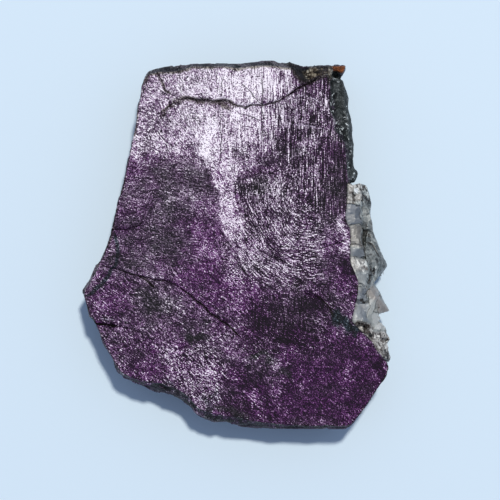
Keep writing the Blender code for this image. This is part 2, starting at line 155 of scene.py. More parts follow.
def to_segments(x, y, path):
    """For each segment of a path: how far off it is, on which side, how far along the path, and its nearest
    place."""
    points = [np.array(p, float) for p in path]
    lengths = [np.hypot(*(b - a)) for a, b in zip(points, points[1:])]
    walked = 0.0
    for a, b, length in zip(points, points[1:], lengths):
        along = (b - a) / length
        dx, dy = x - a[0], y - a[1]
        reach = np.clip(dx * along[0] + dy * along[1], 0, length)
        distance = np.hypot(dx - reach * along[0], dy - reach * along[1])
        side = np.sign(along[0] * dy - along[1] * dx)
        foot = (a[0] + reach * along[0], a[1] + reach * along[1])
        yield distance, side, (walked + reach) / sum(lengths), foot
        walked += length


def inside(x, y, outline, softness):
    """1 inside an outline and 0 outside it, fading over the softness."""
    closed = list(outline) + [outline[0]]
    nearest = np.full(len(x), 1e3)
    within = np.zeros(len(x), bool)
    for distance, _, _, _ in to_segments(x, y, closed):
        nearest = np.minimum(nearest, distance)
    for (x0, y0), (x1, y1) in zip(closed, closed[1:]):
        if y0 != y1:
            crosses = (y0 > y) != (y1 > y)
            within ^= crosses & (x < (x1 - x0) * (y - y0) / (y1 - y0) + x0)
    return ease(np.where(within, nearest, -nearest), -softness / 2, softness / 2)


def spot(x, y, middle, radii, turn=0.0):
    """1 in the middle of a soft oval patch and 0 outside it. The turn is in degrees."""
    c, s = math.cos(math.radians(turn)), math.sin(math.radians(turn))
    dx, dy = x - middle[0], y - middle[1]
    reach = np.hypot((dx * c + dy * s) / radii[0], (dy * c - dx * s) / radii[1])
    return ease(reach, 1.15, 0.35)


def painted(x, y, start, patches):
    """A value all over the face, with patches laid over it one after another."""
    value = np.full(len(x), start, float)
    for level, softness, outline in patches:
        if len(outline) == 2:
            cover = spot(x, y, outline[0], outline[1], softness)
        else:
            cover = inside(x, y, outline, softness)
        value += (level - value) * cover
    return value


def line_field(x, y, lines):
    """Signed distance to the nearest line, the line's half width there, thin at both ends, and its nearest
    place."""
    side_of = np.full(len(x), 9.0)
    half_width = np.full(len(x), 1e-4)
    closeness = np.full(len(x), 1e3)
    foot_x, foot_y = x.copy(), y.copy()
    for path, width in lines:
        for distance, side, along, foot in to_segments(x, y, path):
            taper = np.clip(np.minimum(along, 1 - along) * 7 + 0.2, 0, 1)
            closer = distance < closeness
            foot_x = np.where(closer, foot[0], foot_x)
            foot_y = np.where(closer, foot[1], foot_y)
            side_of = np.where(closer, distance * side, side_of)
            half_width = np.where(closer, width / 2 * taper, half_width)
            closeness = np.minimum(closeness, distance)
    return side_of, half_width, foot_x, foot_y


# What the face looks like, patch by patch: a value, how softly it ends, and its outline. A patch with only
# two pairs of numbers is an oval: its middle, its radii and, in place of the softness, its turn in degrees.

RIGHT_STRIP = [(9.3, 12.6), (12.4, 11.8), (12.4, 3.2), (9.5, 3.4)]
LOWER_RIGHT = [(5, -12), (12, -9.6), (16.4, -12), (14, -17), (12, -19.6), (5, -19.6)]
# How light the face is. The brightest patches, at the top middle, are partly the face's own silvery lustre
# and partly a painted highlight where the lamp's reflection falls.
FACE_TONE_AND_HIGHLIGHT = [
    (0.64, 1.6, [(-13, 9), (-10, 20.8), (-4, 20.8), (-4.4, 10.6), (-6.4, 9.8), (-9, 10.6)]),
    (0.7, -55, [(-6.4, 12.6), (2.4, 1.1)]),
    (0.5, 20, [(-9.4, 18.7), (2, 1.2)]),
    (0.52, -60, [(-8.6, 14.4), (2.6, 1)]),
    (0.78, 8, [(-11.4, 11.8), (1.2, 3.2)]),
    (0.54, 0, [(-10.2, 16.6), (1, 1.2)]),
    (0.88, 1.4, [(-6.6, 16.6), (-6.4, 20.5), (-1.5, 20.5), (-1.5, 16), (-5, 16.2)]),
    (1.16, 0.9, [(-2.2, 16), (-2.2, 20.4), (6.4, 20.4), (6.3, 17.4), (4.2, 16.2), (1, 15.5)]),
    (1.2, 0, [(1.2, 17.5), (2.2, 2.2)]),
    (1.3, 0, [(-0.6, 17.7), (0.9, 1.6)]),
    (0.55, 0, [(-0.8, 19.3), (0.9, 0.8)]),
    (0.55, -60, [(5.7, 18.2), (1.6, 0.7)]),
    (0.78, 1.6, [(-6.4, 15.9), (-5, 16.1), (-1, 15.6), (1, 15.2), (3.2, 15.7), (5, 16.2),
        (4.4, 13.6), (2.8, 11.4), (1.4, 9.8), (0, 9), (-2, 9.5), (-3.9, 10), (-5.2, 12.6)]),
    (1, 0, [(1, 15), (2.6, 1.2)]),
    (0.6, 30, [(1.6, 11.4), (3.4, 1.9)]),
    (1.15, 0, [(-2.7, 12.8), (0.9, 2)]),
    (1.15, 0.35, [(-5.3, 13.2), (-4.7, 12.2), (-4.4, 11), (-3.7, 10), (-3.1, 10.4), (-3.2, 12.2),
        (-4, 13)]),
    (0.76, 0.5, [(-3.7, 9.8), (-2.8, 8.2), (-2.2, 7.1), (-2.1, 4.4), (-0.4, 4.4), (-0.3, 6.6), (0.2, 8.6),
        (-0.2, 10.4)]),
    (0.3, 1.6, [(5.6, 17.4), (9.6, 18.5), (10.8, 15.5), (10.8, 11), (6.4, 10.6), (4.2, 12.4), (5, 15)]),
    (0.47, -30, [(7.2, 13.4), (1.9, 1.1)]),
    (0.44, 0, [(7, 16.2), (1.4, 0.9)]),
    (0.24, 35, [(5.4, 11.4), (1.4, 0.7)]),
    (0.24, 0.8, [(9.4, 19.5), (11, 19.5), (11.6, 11), (10.2, 11), (9.6, 15)]),
    (0.22, 10, [(8.6, 10.6), (1.2, 0.7)]),
    (0.3, 1.2, [(0.6, 8.2), (2.4, 9.4), (5, 11.2), (10.4, 10.6), (10.6, 7.4), (6.2, 8.4), (3.2, 7.8)]),
    (0.24, 1.6, [(9.3, 12.6), (12.4, 11.8), (12.4, 3.2), (10, 2.4), (8, 4.2), (8.4, 8)]),
    (0.33, 1.2, [(-0.3, 7.2), (3, 8), (6.4, 8.2), (8.4, 5), (8.8, 2), (6.5, 2.6), (4, 2.2), (2, 3),
        (-0.2, 4)]),
    (0.45, -28, [(4.4, 5.6), (2.4, 1.2)]),
    (0.35, 1.4, [(-0.3, 3.6), (2, 3), (6, 2.8), (9.8, 2.2), (9, -4), (4, -4.8), (-0.4, -2)]),
    (0.54, 0.5, [(-2, 4.6), (-0.2, 4.8), (0.6, 0.6), (-1.4, 0.4)]),
    (0.62, 0, [(-0.2, 1.8), (1.2, 1.2)]),
    (0.36, 0.9, [(-1, -0.4), (1.6, 0.2), (2.2, -3.4), (-0.4, -4.1)]),
    (0.6, 0, [(0.1, -3.2), (0.8, 0.8)]),
    (0.58, -20, [(5.2, 0.3), (1.7, 0.8)]),
    (0.28, 10, [(2.9, -0.4), (1, 0.8)]),
    (0.5, -30, [(4.4, -2.2), (1.1, 0.5)]),
    (0.27, 0, [(6.6, -1.9), (1, 1.1)]),
    (0.5, 0, [(8.2, -3.3), (0.5, 1.1)]),
    (0.72, 0, [(11.7, 1.8), (0.8, 1.9)]),
    (0.4, 0, [(10.4, 0.6), (1.2, 0.7)]),
    (0.36, 1.6, [(-12.9, 9.2), (-9, 10.2), (-6.4, 9.6), (-4, 9.6), (-2.7, 7.6), (-2.3, 3.6), (-6, 2),
        (-13.8, 3.2)]),
    (0.46, -30, [(-4.6, 9), (1.6, 0.8)]),
    (0.29, 2.6, [(-13.8, 3.6), (-6, 4.2), (-3.4, 2.4), (-5.6, -2.5), (-9, -1.6), (-14.6, -2.4)]),
    (0.28, -30, [(-4.4, 6.6), (1.9, 1)]),
    (0.33, 2.4, [(-5, 3.2), (-2.3, 4), (-1.7, 0.8), (-0.9, -1), (-0.4, -4.5), (1.8, -5.4), (1, -8),
        (-2.6, -9), (-6.5, -5)]),
    (0.43, -35, [(-3.4, -1), (1.7, 0.9)]),
    (0.4, -50, [(-12.9, 0.2), (0.7, 2)]),
    (0.3, 1.6, [(-15.8, -2.5), (-12, -3), (-10.5, -6), (-12, -9), (-15.8, -8)]),
    (0.28, 2.2, [(-12, -3), (-7, -3.4), (-4, -6.6), (-5, -9.4), (-11, -8.4)]),
    (0.44, -25, [(-9.9, -2.9), (1.4, 0.6)]),
    (0.38, -40, [(-7.4, -5.6), (1.8, 0.7)]),
    (0.3, 1.4, [(-15, -8.6), (-9, -9.2), (-6.4, -9.4), (-8.8, -14.6), (-12, -14)]),
    (0.3, 1.6, [(8.4, 0), (10.8, -0.6), (12.4, -0.8), (13.2, -4), (12.5, -7.5), (10.2, -7.2), (9.7, -6.4),
        (7.6, -4.6)]),
    (0.2, 0, [(12, -2.6), (0.9, 1.8)]),
    (0.36, 0, [(11.6, -6.2), (0.9, 0.7)]),
    (0.23, 1.8, [(0.5, -7.5), (3, -5.6), (7, -4.6), (9.4, -5.4), (10.6, -8.4), (9.6, -11.4), (3.4, -12),
        (0.4, -11)]),
    (0.14, 25, [(7.9, -6.2), (2, 1.5)]),
    (0.155, -15, [(5.8, -9.3), (4, 1.9)]),
    (0.15, 0, [(2.4, -8.8), (1.5, 1.8)]),
    (0.37, 1.6, [(-7.2, -10.8), (-3.6, -11.8), (-1.4, -13.4), (-1.8, -16.8), (-4.5, -16), (-6.2, -13.6)]),
    (0.48, -42, [(-3.4, -14.2), (2.2, 0.9)]),
    (0.22, 2, [(-1, -12.6), (4, -13), (5, -19), (-2.4, -18.6)]),
    (0.235, 2.4, [(4.5, -12), (12, -9.6), (16.4, -12), (14, -17), (12, -19.6), (5, -19.6)]),
    (0.38, 0, [(4, -12.8), (1.1, 0.8)]),
    (0.33, 0, [(7.2, -14.8), (0.7, 0.9)]),
    (0.31, 0, [(11.7, -13.5), (0.6, 1.8)]),
    (0.3, 0, [(8.7, -11.5), (1.1, 0.6)]),
    (0.36, 0, [(1.5, -16.2), (0.8, 0.9)]),
    (0.14, 0, [(15.8, -13), (0.8, 1.3)]),
    (0.2, -35, [(-4.7, -9.8), (1.5, 0.8)]),
    (0.46, 0.5, [(-15, -1.9), (-14.2, -2.3), (-14, -3), (-15.8, -4.9), (-17, -4.9)]),
]
# Light patches with crisp edges, laid over the others: partly their own pale lustre and partly painted sheen
FLAKES = [
    (0.73, 0.3, [(-2.9, 10.2), (-2.2, 10.1), (-0.4, 9.2), (-0.5, 6.4), (-0.15, 4.2), (-0.9, 3.4), (-2, 3.2),
        (-2.2, 7.6)]),
    (0.62, 0.4, [(-2, 3.2), (-0.9, 3.4), (0.3, 3), (1.1, 1.9), (0.6, 0.8), (-0.4, -0.2), (-1.6, 1.4)]),
    (0.46, 0.3, [(-0.9, -0.3), (1.8, 0.3), (1.9, -2), (0.6, -4), (-0.8, -4.1), (-1.1, -2.5)]),
    (0.66, 0.4, [(-4, 14.6), (-3.2, 14.4), (-3.2, 13.2), (-4, 13.4)]),
    (1.5, 0.25, [(-5.2, 12.9), (-4.6, 12.9), (-3.7, 12.2), (-3.1, 12.8), (-2.9, 14.1), (-2.3, 14.2),
        (-2.5, 12.4), (-3, 11.4), (-3.2, 10.2), (-2.5, 9.5), (-3.4, 9.5), (-4, 10), (-4.1, 11.2)]),
]
# How strongly the light streaks, partly painted glints, stand against the dark ground
CONTRAST = [
    (0.42, 3, [(-12.8, 9.4), (-10, 21), (6.4, 21), (6.4, 9.8), (-0.3, 9.8), (-0.3, 4.5), (-2, 4.5),
        (-4, 9)]),
    (0.48, 1.5, [(0.4, 14), (5.4, 16.5), (5.4, 10.2), (0.4, 10.2)]),
    (0.56, 1.8, [(5.4, 17.5), (10.4, 18.5), (12.2, 11.5), (9.5, 6), (9, -5), (-0.4, -4), (-0.3, 7),
        (5.2, 10)]),
    (0.38, 1.8, RIGHT_STRIP),
    (0.32, 1.8, [(-13, 9), (-4, 9.6), (-2.2, 8), (-2.1, 3), (-0.8, -3), (-5, -6), (-14.8, -2.5)]),
    (0.58, 1.8, [(-8, -11.2), (-3, -10.5), (-1.2, -13), (-1.6, -16.8), (-4.5, -16.5), (-7.2, -14)]),
    (0.36, 2, LOWER_RIGHT),
    (0.48, 1.2, [(0.8, -6), (4, -5.2), (7, -4.9), (9.1, -5.7), (10, -7), (10, -11), (3, -12.5),
        (0.6, -11)]),
]
# 0 for charcoal grey, 1 for full violet
PURPLE = [
    (0.35, 3.5, [(-10, 20.8), (6, 20.5), (6, 11), (-2, 8), (-5, 10), (-11.6, 11.6)]),
    (0.85, 0, [(-10.6, 9.6), (2.6, 2)]),
    (0.2, 4, [(-9.4, 9.5), (-5, 9.5), (-3, 6.6), (-6.5, 3), (-7.5, -1.5), (-12, -2)]),
    (0.15, 25, [(-6.2, 6.6), (3.4, 1.8)]),
    (0.15, -20, [(3.6, 5.6), (4.2, 2.6)]),
    (0.95, 4, [(-4.6, 4), (-2.2, 3), (-1.4, -1), (0.4, -4.5), (4, -5), (3, -8), (-2, -8.5), (-5.5, -4)]),
    (0.8, 2, [(-16, -3), (-12.5, -3), (-11, -8), (-15.8, -7.6)]),
    (0.1, 3.4, [(-11.3, -2.6), (-6.5, -4), (-5.5, -8), (-10.5, -8.4)]),
    (0.8, 3, [(-12.6, -9.4), (-7, -9.6), (-5.6, -13), (-9, -14.6), (-12, -13)]),
    (0.9, 0, [(11.8, -3.6), (1.8, 4)]),
    (0.55, 0, [(7.6, -6), (2.2, 1.8)]),
    (0.85, 3, [(0.4, -7), (4.6, -6.4), (4, -12), (-0.5, -11)]),
    (1, 3, [(4, -11.4), (11, -9), (16.6, -12), (14, -17), (12, -19.8), (3, -19.8)]),
    (0.85, 2.6, [(-1, -14.2), (4, -14.8), (4, -19.5), (-2.4, -18.6)]),
    (0.85, -40, [(-4, -13.8), (3.2, 1.8)]),
    (0.25, 1.8, RIGHT_STRIP),
]
# Grey-green and blue-green spots
OLIVE = [
    (0.7, -25, [(-5.6, -9.5), (1.5, 0.7)]),
    (0.8, -10, [(2, -12.4), (1.5, 0.6)]),
    (0.6, -10, [(4.1, -13.6), (1.1, 0.6)]),
    (0.6, 0, [(9.3, -18.2), (0.5, 0.6)]),
    (0.2, 0, [(-8, 1), (4, 3)]),
    (0.2, 0, [(-8.5, -6), (2.4, 1.8)]),
    (0.7, -40, [(-6.2, -15.9), (1.7, 0.5)]),
    (0.7, -22, [(-1.6, -18.5), (2.4, 0.6)]),
    (0.6, -30, [(-4.7, -9.9), (1.1, 0.7)]),
]
TEAL = [
    (1, 0.4, [(10, -7.2), (11.4, -7.6), (12.8, -8.4), (12.4, -9.8), (11.2, -9.4), (10.4, -8.6)]),
    (0.5, 0, [(-13.3, -10), (0.5, 0.6)]),
    (0.6, 0, [(-8, -14.3), (0.5, 0.4)]),
    (0.5, 0, [(-2, -16.3), (0.8, 0.6)]),
    (0.6, -45, [(-7.4, -14.9), (0.9, 0.5)]),
    (0.6, -50, [(-3, -17), (1.3, 0.5)]),
]
# Which way the scratches run, as the share of each direction
UPRIGHT = [
    (1, 2, [(1.5, 20.5), (12, 20.5), (12.4, 3.5), (8.5, 3.5), (5.2, 8.5), (2, 10)]),
    (0.6, 1.5, [(-2.6, 20), (1.5, 20), (1.5, 10), (-2.6, 10)]),
    (0.5, 1.5, [(1.5, -5), (8, -5), (8, -9), (1.5, -9)]),
]
STEEP = [
    (1, 2, [(-9.5, 10), (-9, 20.5), (-2, 20.5), (-2, 4.4), (-0.3, 4.4), (0.2, 11), (-6, 10)]),
    (0.7, 1.5, [(0, 7), (2.6, 7), (4, 1), (1.5, 0)]),
    (0.5, 2, LOWER_RIGHT),
]
SHALLOW = [
    (1, 2, [(-13, 9.6), (-5, 9.6), (-2.2, 6), (-2.2, 3), (-4, -2), (-14.6, -2.5)]),
]
# Where they curl round a place near the right edge
CURLED = [
    (1, 1.5, [(-0.3, 8), (7, 8.4), (10.5, 3), (10, -4), (4, -4.8), (-0.4, -3)]),
]
CURL_MIDDLE = (9.5, 6)

# Lines on the face, each a path and a width: cracks that are cut into it, then ones that are only colour
CRACKS = [
    ([(-6.4, 15.95), (-5.8, 16.3), (-5, 16.25), (-3.5, 16.1), (-1.5, 16.1), (-0.3, 15.7)], 0.36),
    ([(-1.2, 16), (-0.3, 15.7), (0.9, 15.4), (1.5, 15.7), (3, 15.75), (3.8, 15.9), (5, 16.6), (6.2, 17.2),
        (6.7, 17.7), (7.6, 18.15), (8.9, 18.75)], 0.25),
    ([(-15.1, -1.95), (-14, -2.4), (-12, -2.9), (-10, -3.5), (-8, -3.8), (-6, -4.6)], 0.19),
    ([(-6.6, -4.3), (-5.3, -5.2), (-3.4, -6.9), (-1, -8.6), (0.3, -10)], 0.19),
    ([(-15.35, -8.4), (-14.2, -8.5), (-13, -8.75)], 0.26),
    ([(-13.3, -8.7), (-11, -9.2), (-10, -9.6)], 0.12),
    ([(-13.7, 1.95), (-12.6, 1.7), (-12, 1.7), (-11, 2.2), (-10.3, 2.8)], 0.15),
    ([(12.25, 0.9), (11, 0.4), (10, 0.2), (8.9, -0.3)], 0.15),
    ([(7, -4.8), (9, -5.7), (9.9, -6.6), (10.2, -7.2)], 0.1),
]
HAIRLINES = [
    ([(-11.8, 6.6), (-10.2, 6.2), (-8.4, 5.4), (-7, 4.9)], 0.08),
    ([(-9.6, 13.2), (-8.4, 12.1), (-7.6, 11)], 0.08),
    ([(-7.9, 15.3), (-7.2, 15.7), (-6.4, 15.95)], 0.14),
    ([(-8.3, 13.9), (-8.15, 14.6), (-7.9, 15.3)], 0.12),
    ([(-9.3, 19.6), (-8.4, 18.2), (-7.9, 17.2), (-7.2, 16.7)], 0.14),
    ([(-1.75, 19), (-1.7, 17.4), (-1.8, 16.4)], 0.12),
    ([(-7.2, 18.6), (-6.4, 17.6), (-6.3, 16.6)], 0.1),
    ([(1.4, 3.4), (2.6, 1.4), (4.2, 0.2), (6.2, -0.2), (7.6, 0.3)], 0.1),
    ([(3.4, -1), (5.2, -1.6), (6.4, -3), (7.2, -4.6)], 0.1),
    ([(-12.4, -9.6), (-10, -10.6), (-8.4, -12), (-6.8, -13.2)], 0.09),
    ([(2.75, 19.2), (2.65, 17), (2.7, 14.5), (2.6, 11.6)], 0.17),
    ([(-2.3, 20), (-2.35, 18.5), (-2.2, 16.8)], 0.1),
    ([(-1.9, 14.8), (-1.85, 12), (-2, 9)], 0.11),
    ([(0.3, 18.1), (1.2, 17.2), (2.6, 15.8)], 0.16),
    ([(0, 14.8), (1.4, 14.3), (2.5, 13.9)], 0.13),
    ([(-10.8, -3.3), (-9.9, -3.8), (-9, -4.5)], 0.16),
    ([(-8.1, 14.6), (-7.6, 13.9), (-7.4, 13.5)], 0.1),
    ([(-6.6, 19.5), (-6.2, 18.2), (-5.9, 17)], 0.08),
    ([(4.6, 12), (5.4, 11.4), (6, 11.1)], 0.14),
]
PALE_LINES = [
    ([(6.4, 16.9), (7.4, 16.8), (8.3, 16.5), (9, 16.1)], 0.16),
    ([(6.5, 16.8), (6.45, 15.4), (6.5, 14)], 0.13),
    ([(5.4, 13.5), (7.4, 13.5), (9.6, 13)], 0.14),
    ([(-5.3, 13.2), (-4.8, 11), (-4.3, 10), (-3.8, 9.3)], 0.14),
    ([(-15, -7.75), (-14.2, -7.9), (-13.2, -8.1)], 0.12),
]
VEIN = [
    ([(-13.4, 1.6), (-13.05, 0), (-13.1, -1), (-13.15, -2), (-13.64, -2.55), (-14.1, -3.45), (-14.6, -4.2),
        (-15.6, -5.1), (-16.6, -5.5)], 0.62),
]
# Dirt that fills and surrounds the cracks
DIRT = [
    ([(-8.1, 15.2), (-7.2, 15.7), (-6.4, 16), (-5.8, 16.3), (-5, 16.2), (-3.5, 16), (-1.5, 15.95),
        (-0.6, 15.7), (0.2, 15.5)], 0.95),
    ([(-1.9, 15.65), (-1.2, 15.6), (-0.5, 15.4)], 1.1),
    ([(-8.4, 14.4), (-8.2, 15), (-7.4, 15.6)], 0.7),
    ([(-9.3, 19.6), (-8.4, 18.2), (-7.9, 17.2), (-7.2, 16.7)], 0.5),
    ([(5.6, 16.9), (6.6, 17.6), (7.6, 18.1), (9, 18.7)], 0.4),
    ([(-10.8, -3.3), (-9.9, -3.8), (-9, -4.5)], 0.4),
    ([(-15.3, -8.35), (-14.2, -8.5), (-13, -8.7)], 0.36),
    ([(-6.4, -4.5), (-5.3, -5.2), (-3.4, -6.9), (-1, -8.6), (0.3, -10)], 0.36),
    ([(8.6, -5.3), (9.9, -6.6), (10.3, -7.4)], 0.4),
]

# Broken sides and corners, seen from above
RIM = [(9.9, 19.5), (10.2, 17.2), (10.15, 16.2), (10.1, 15.2), (10.4, 14.4), (10.6, 13.2), (11.1, 12.3),
       (11.8, 11.4), (12, 8), (14.5, 8), (14, 20)]
CORNER = [(6.9, 22), (7.1, 19.9), (7.8, 18.4), (9, 18.9), (9.9, 19.2), (10.2, 18.7), (13, 18.7), (13, 22)]
GRAINS = [(7.1, 19.9), (7.3, 19), (7.9, 18.1), (8.8, 18.5), (9.2, 19.2), (8.8, 20.1)]
BROWN = [(8.8, 18.4), (10.3, 18.9), (10.4, 20.3), (8.8, 20.2)]
CHIP = [(5.2, 22), (5.6, 19.9), (6.1, 18.8), (7, 18), (8, 18.3), (7.3, 19.6), (7.1, 22)]
RUST = [(10.5, 20.3), (10.6, 19.45), (11.4, 19.1), (12.4, 18.9), (12.4, 20.3)]
TIP = [(-14.9, -1.8), (-15.3, -3.2), (-15.9, -4.3), (-16.5, -5.1), (-17.6, -4.6), (-16.2, -2)]

# Parts of the quartz, and then, patch by patch, how light it is, how blue (below 0) or brown (above 0), and
# how grainy
CHUNK = [(11.4, 7.6), (14.8, 7.6), (14.8, 5), (13.4, 4.9), (11.6, 5)]
PLATE_1 = [(11, 4.9), (13.4, 4.8), (13.6, 2.7), (11.2, 2.6)]
PLATE_2 = [(11.2, 2.45), (13.6, 2.45), (13.8, 0.2), (11.2, 0.2)]
PLATE_3 = [(11.2, 0.1), (13.9, 0), (13.9, -1.1), (11.2, -1.1)]
LOW_FLAKE = [(14.9, -7.2), (15.7, -7), (16.3, -8.7), (15.3, -8.9), (14.7, -8)]
LOWER_END = [(12.2, -8.1), (14.4, -8.1), (14.9, -9), (17, -9.2), (17.2, -12.6), (16, -12.6), (13.3, -9.5)]
QUARTZ_LIGHT = [
    (0.4, 0.5, CHUNK),
    (0.47, 0.2, PLATE_1),
    (0.6, 0, [(13, 6.4), (0.45, 0.5)]),
    (0.58, 0.5, [(13.5, 4.9), (14.8, 4.8), (15, 2.2), (13.9, 2.2)]),
    (0.48, 0.3, PLATE_2),
    (0.54, 0.2, PLATE_3),
    (0.46, 0.6, [(14, 1), (15.2, 0.3), (16.4, -1.1), (16.5, -2.2), (15.8, -2.8), (14.2, -1)]),
    (0.66, 0.4, [(11.4, -1.1), (13.9, -1.1), (14.3, -2.6), (14.1, -4.5), (13.4, -4), (12, -2.5)]),
    (0.8, 0.3, [(12.4, -2.5), (14, -2.5), (14.1, -4.4), (13.4, -4.2)]),
    (0.3, 0.5, [(14.2, -2.1), (15.6, -2.2), (15, -3), (14.5, -4), (14.1, -3)]),
    (0.4, 0.4, [(13.1, -4), (14.2, -4.4), (13.5, -5.5), (12.8, -6.2)]),
    (0.76, 0.4, [(14, -5.6), (15, -3.9), (15.6, -4.4), (15.8, -5.2), (17, -6.7), (15.6, -7.2), (16.4, -9),
        (14.9, -9), (14.2, -7.9)]),
    (0.66, 0.2, [(14.3, -4.6), (15.2, -4), (15.6, -4.9), (15.4, -5.6), (14.6, -5.3)]),
    (0.96, 0.2, [(14, -5.7), (14.9, -5.3), (15.2, -6.8), (14.3, -7.5)]),
    (0.68, 0.2, [(15.5, -5.2), (16, -5.6), (17.1, -6.7), (16, -6.9), (15.4, -6.4)]),
    (0.98, 0.2, LOW_FLAKE),
    (0.62, 0.3, [(12.8, -6.1), (14.1, -6), (14.2, -7.9), (12.3, -8)]),
    (0.22, 0.4, [(12.2, -8.1), (14.4, -8.1), (14.9, -9.6), (15.1, -10.7), (13.3, -9.5)]),
    (0.62, 0.3, [(14.9, -9), (16.3, -9), (16.7, -9.8), (15, -10.4)]),
    (0.58, 0.3, [(15, -10.1), (16.6, -10), (16.7, -10.8), (15.2, -11)]),
    (0.3, 0.3, [(15.1, -11.1), (16.8, -11), (17, -12.6), (16, -12.6)]),
]
QUARTZ_TINT = [
    (0.5, 0.6, [(11.4, 7.6), (13.9, 7.6), (13.6, 5.3), (11.6, 5)]),
    (-1, 0.2, PLATE_1),
    (-0.9, 0, [(13, 6.4), (0.45, 0.5)]),
    (0.5, 0.3, PLATE_2),
    (-0.7, 0.2, PLATE_3),
    (0.45, 0.4, [(11.4, -1.1), (13.9, -1.1), (14.3, -2.6), (12, -2.6)]),
    (-0.3, 0.4, [(12.8, -2.8), (14.2, -2.8), (14.2, -4.4), (13.4, -4.2)]),
    (-0.8, 0.4, [(13.1, -4.3), (14.2, -4.3), (14.2, -7.9), (12.3, -8)]),
    (0.8, 0.4, [(14, -5.2), (15, -3.9), (15.6, -4.4), (15.8, -5.2), (17, -6.7), (15.6, -7), (15.2, -5.6)]),
    (-0.2, 0.3, LOW_FLAKE),
    (0.6, 0.4, LOWER_END),
]
QUARTZ_GRAIN = [
    (1, 0.6, CHUNK),
    (0.05, 0.2, PLATE_1),
    (0.05, 0.2, PLATE_3),
    (0.2, 0.3, PLATE_2),
    (0.9, 0.4, [(12.4, -1.3), (14.2, -1.3), (15.8, -2.2), (14.5, -4), (13.6, -2.8)]),
    (0.2, 0.3, [(13, -2.9), (14, -2.9), (14.1, -4.4), (13.4, -4.1)]),
    (0.12, 0.4, [(12.8, -6.1), (14.1, -5.6), (15, -3.9), (15.8, -5.2), (17, -6.7), (16, -8.6), (12.3, -8)]),
    (1, 0.4, LOWER_END),
]
# Dark creases and brown seams in the quartz
CREASES = [
    ([(13.7, 2.4), (14.05, 2), (13.8, 1.3), (13.95, 0.7), (13.8, 0), (14, -0.6), (14.2, -1.2)], 0.26),
    ([(14, 2.1), (14.35, 1.9), (14.3, 1.4)], 0.32),
    ([(14.5, 1.7), (14.7, 1.4)], 0.26),
    ([(14.6, 1.2), (14.9, 0.5), (15.1, -0.1), (15.7, -0.85)], 0.24),
    ([(12.1, 2.55), (13.1, 2.6), (13.7, 2.5)], 0.12),
    ([(12.3, 0.5), (13.2, 0.55), (13.8, 0.3)], 0.1),
    ([(12.35, -1.1), (13.2, -1), (13.9, -0.9)], 0.08),
    ([(12.5, 6.2), (12.7, 5.8), (12.8, 5.4), (13, 5.2)], 0.24),
    ([(13.7, 5.9), (13.75, 5.2)], 0.2),
    ([(13.4, 6.7), (13.7, 6.5), (14, 6.55)], 0.14),
    ([(12.1, 5), (12.8, 4.9), (13, 4.7)], 0.12),
    ([(13.4, 4.4), (13.45, 3.4), (13.7, 2.9)], 0.07),
    ([(14.6, -2.4), (15.2, -2.4)], 0.22),
    ([(15.3, -5.3), (15.3, -6.3), (15, -7), (15.7, -6.9)], 0.1),
    ([(14.3, -5.2), (14.5, -6.4), (14.2, -7.6)], 0.09),
    ([(14.4, -3), (14.6, -3.3), (14.4, -3.9)], 0.22),
    ([(13.95, -4.4), (14.3, -4.1)], 0.1),
    ([(13.9, -5.1), (14.3, -4.7), (14.7, -4.4)], 0.2),
    ([(13.35, -6), (13.65, -5.75), (13.9, -6.05)], 0.42),
    ([(14, -8.2), (14.3, -8.7)], 0.4),
    ([(15.2, -9.6), (15.9, -9.8), (16.4, -10)], 0.12),
    ([(16.3, -9.7), (16.7, -9.9)], 0.4),
    ([(15.4, -11.5), (16, -12), (16.3, -11.6)], 0.2),
]


# Meshes

def added(name, data):
    """A new object in the scene."""
    holder = bpy.data.objects.new(name, data)
    bpy.context.scene.collection.objects.link(holder)
    return holder


def applied(holder):
    """The mesh of an object with its modifiers done. The object goes."""
    evaluated = holder.evaluated_get(bpy.context.evaluated_depsgraph_get())
    mesh = bpy.data.meshes.new_from_object(evaluated)
    bpy.data.objects.remove(holder)
    return mesh


def fine_mesh(node, grid):
    """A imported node's mesh in millimetres, remade in small even faces."""
    rough = node.data.copy()
    rough.transform(TO_MM)
    rough.shade_smooth()
    holder = added("fine", rough)
    remesh = holder.modifiers.new("remesh", "REMESH")
    remesh.mode = "VOXEL"
    remesh.voxel_size = grid
    mesh = applied(holder)
    bpy.data.meshes.remove(rough)
    mesh.shade_smooth()
    return mesh


def thinned_underside(mesh, top, share):
    """The mesh with fewer faces below a height, where the stone stands on its flat underside."""
    holder = added("thinned", mesh)
    group = holder.vertex_groups.new(name="underside")
    group.add([v.index for v in mesh.vertices if v.co.z < top], 1.0, "REPLACE")
    decimate = holder.modifiers.new("decimate", "DECIMATE")
    decimate.vertex_group = group.name
    decimate.vertex_group_factor = 10.0
    decimate.ratio = share
    return applied(holder)


def vertex_rows(mesh, name):
    """The places (co) or normals of the vertices, one row each."""
    flat = np.empty(len(mesh.vertices) * 3, np.float32)
    mesh.vertices.foreach_get(name, flat)
    return flat.reshape(-1, 3).astype(float)


def neighbour_means(mesh, values, rounds):
    """Values, one row a vertex, averaged with those of neighbours several times."""
    ends = np.empty(len(mesh.edges) * 2, np.int32)
    mesh.edges.foreach_get("vertices", ends)
    one, other = ends.reshape(-1, 2).T
    count = len(values)
    number = np.bincount(one, minlength=count) + np.bincount(other, minlength=count)
    for _ in range(rounds):
        columns = []
        for column in values.T:
            total = np.bincount(one, column[other], count) + np.bincount(other, column[one], count)
            columns.append(total / number)
        values = np.stack(columns, axis=1)
    return values


def despiked(mesh, points):
    """The places with those that stand far off their neighbours drawn back to them."""
    for _ in range(4):
        means = neighbour_means(mesh, points, 1)
        away = np.linalg.norm(points - means, axis=1)
        points = points + (means - points) * ease(away, 0.09, 0.16)[:, None]
    return points


def ridges(mesh, rounds):
    """How far each vertex stands out from the surface round it: above 0 on ridges, below 0 in hollows."""
    places = vertex_rows(mesh, "co")
    return ((places - neighbour_means(mesh, places, rounds)) * vertex_rows(mesh, "normal")).sum(axis=1)


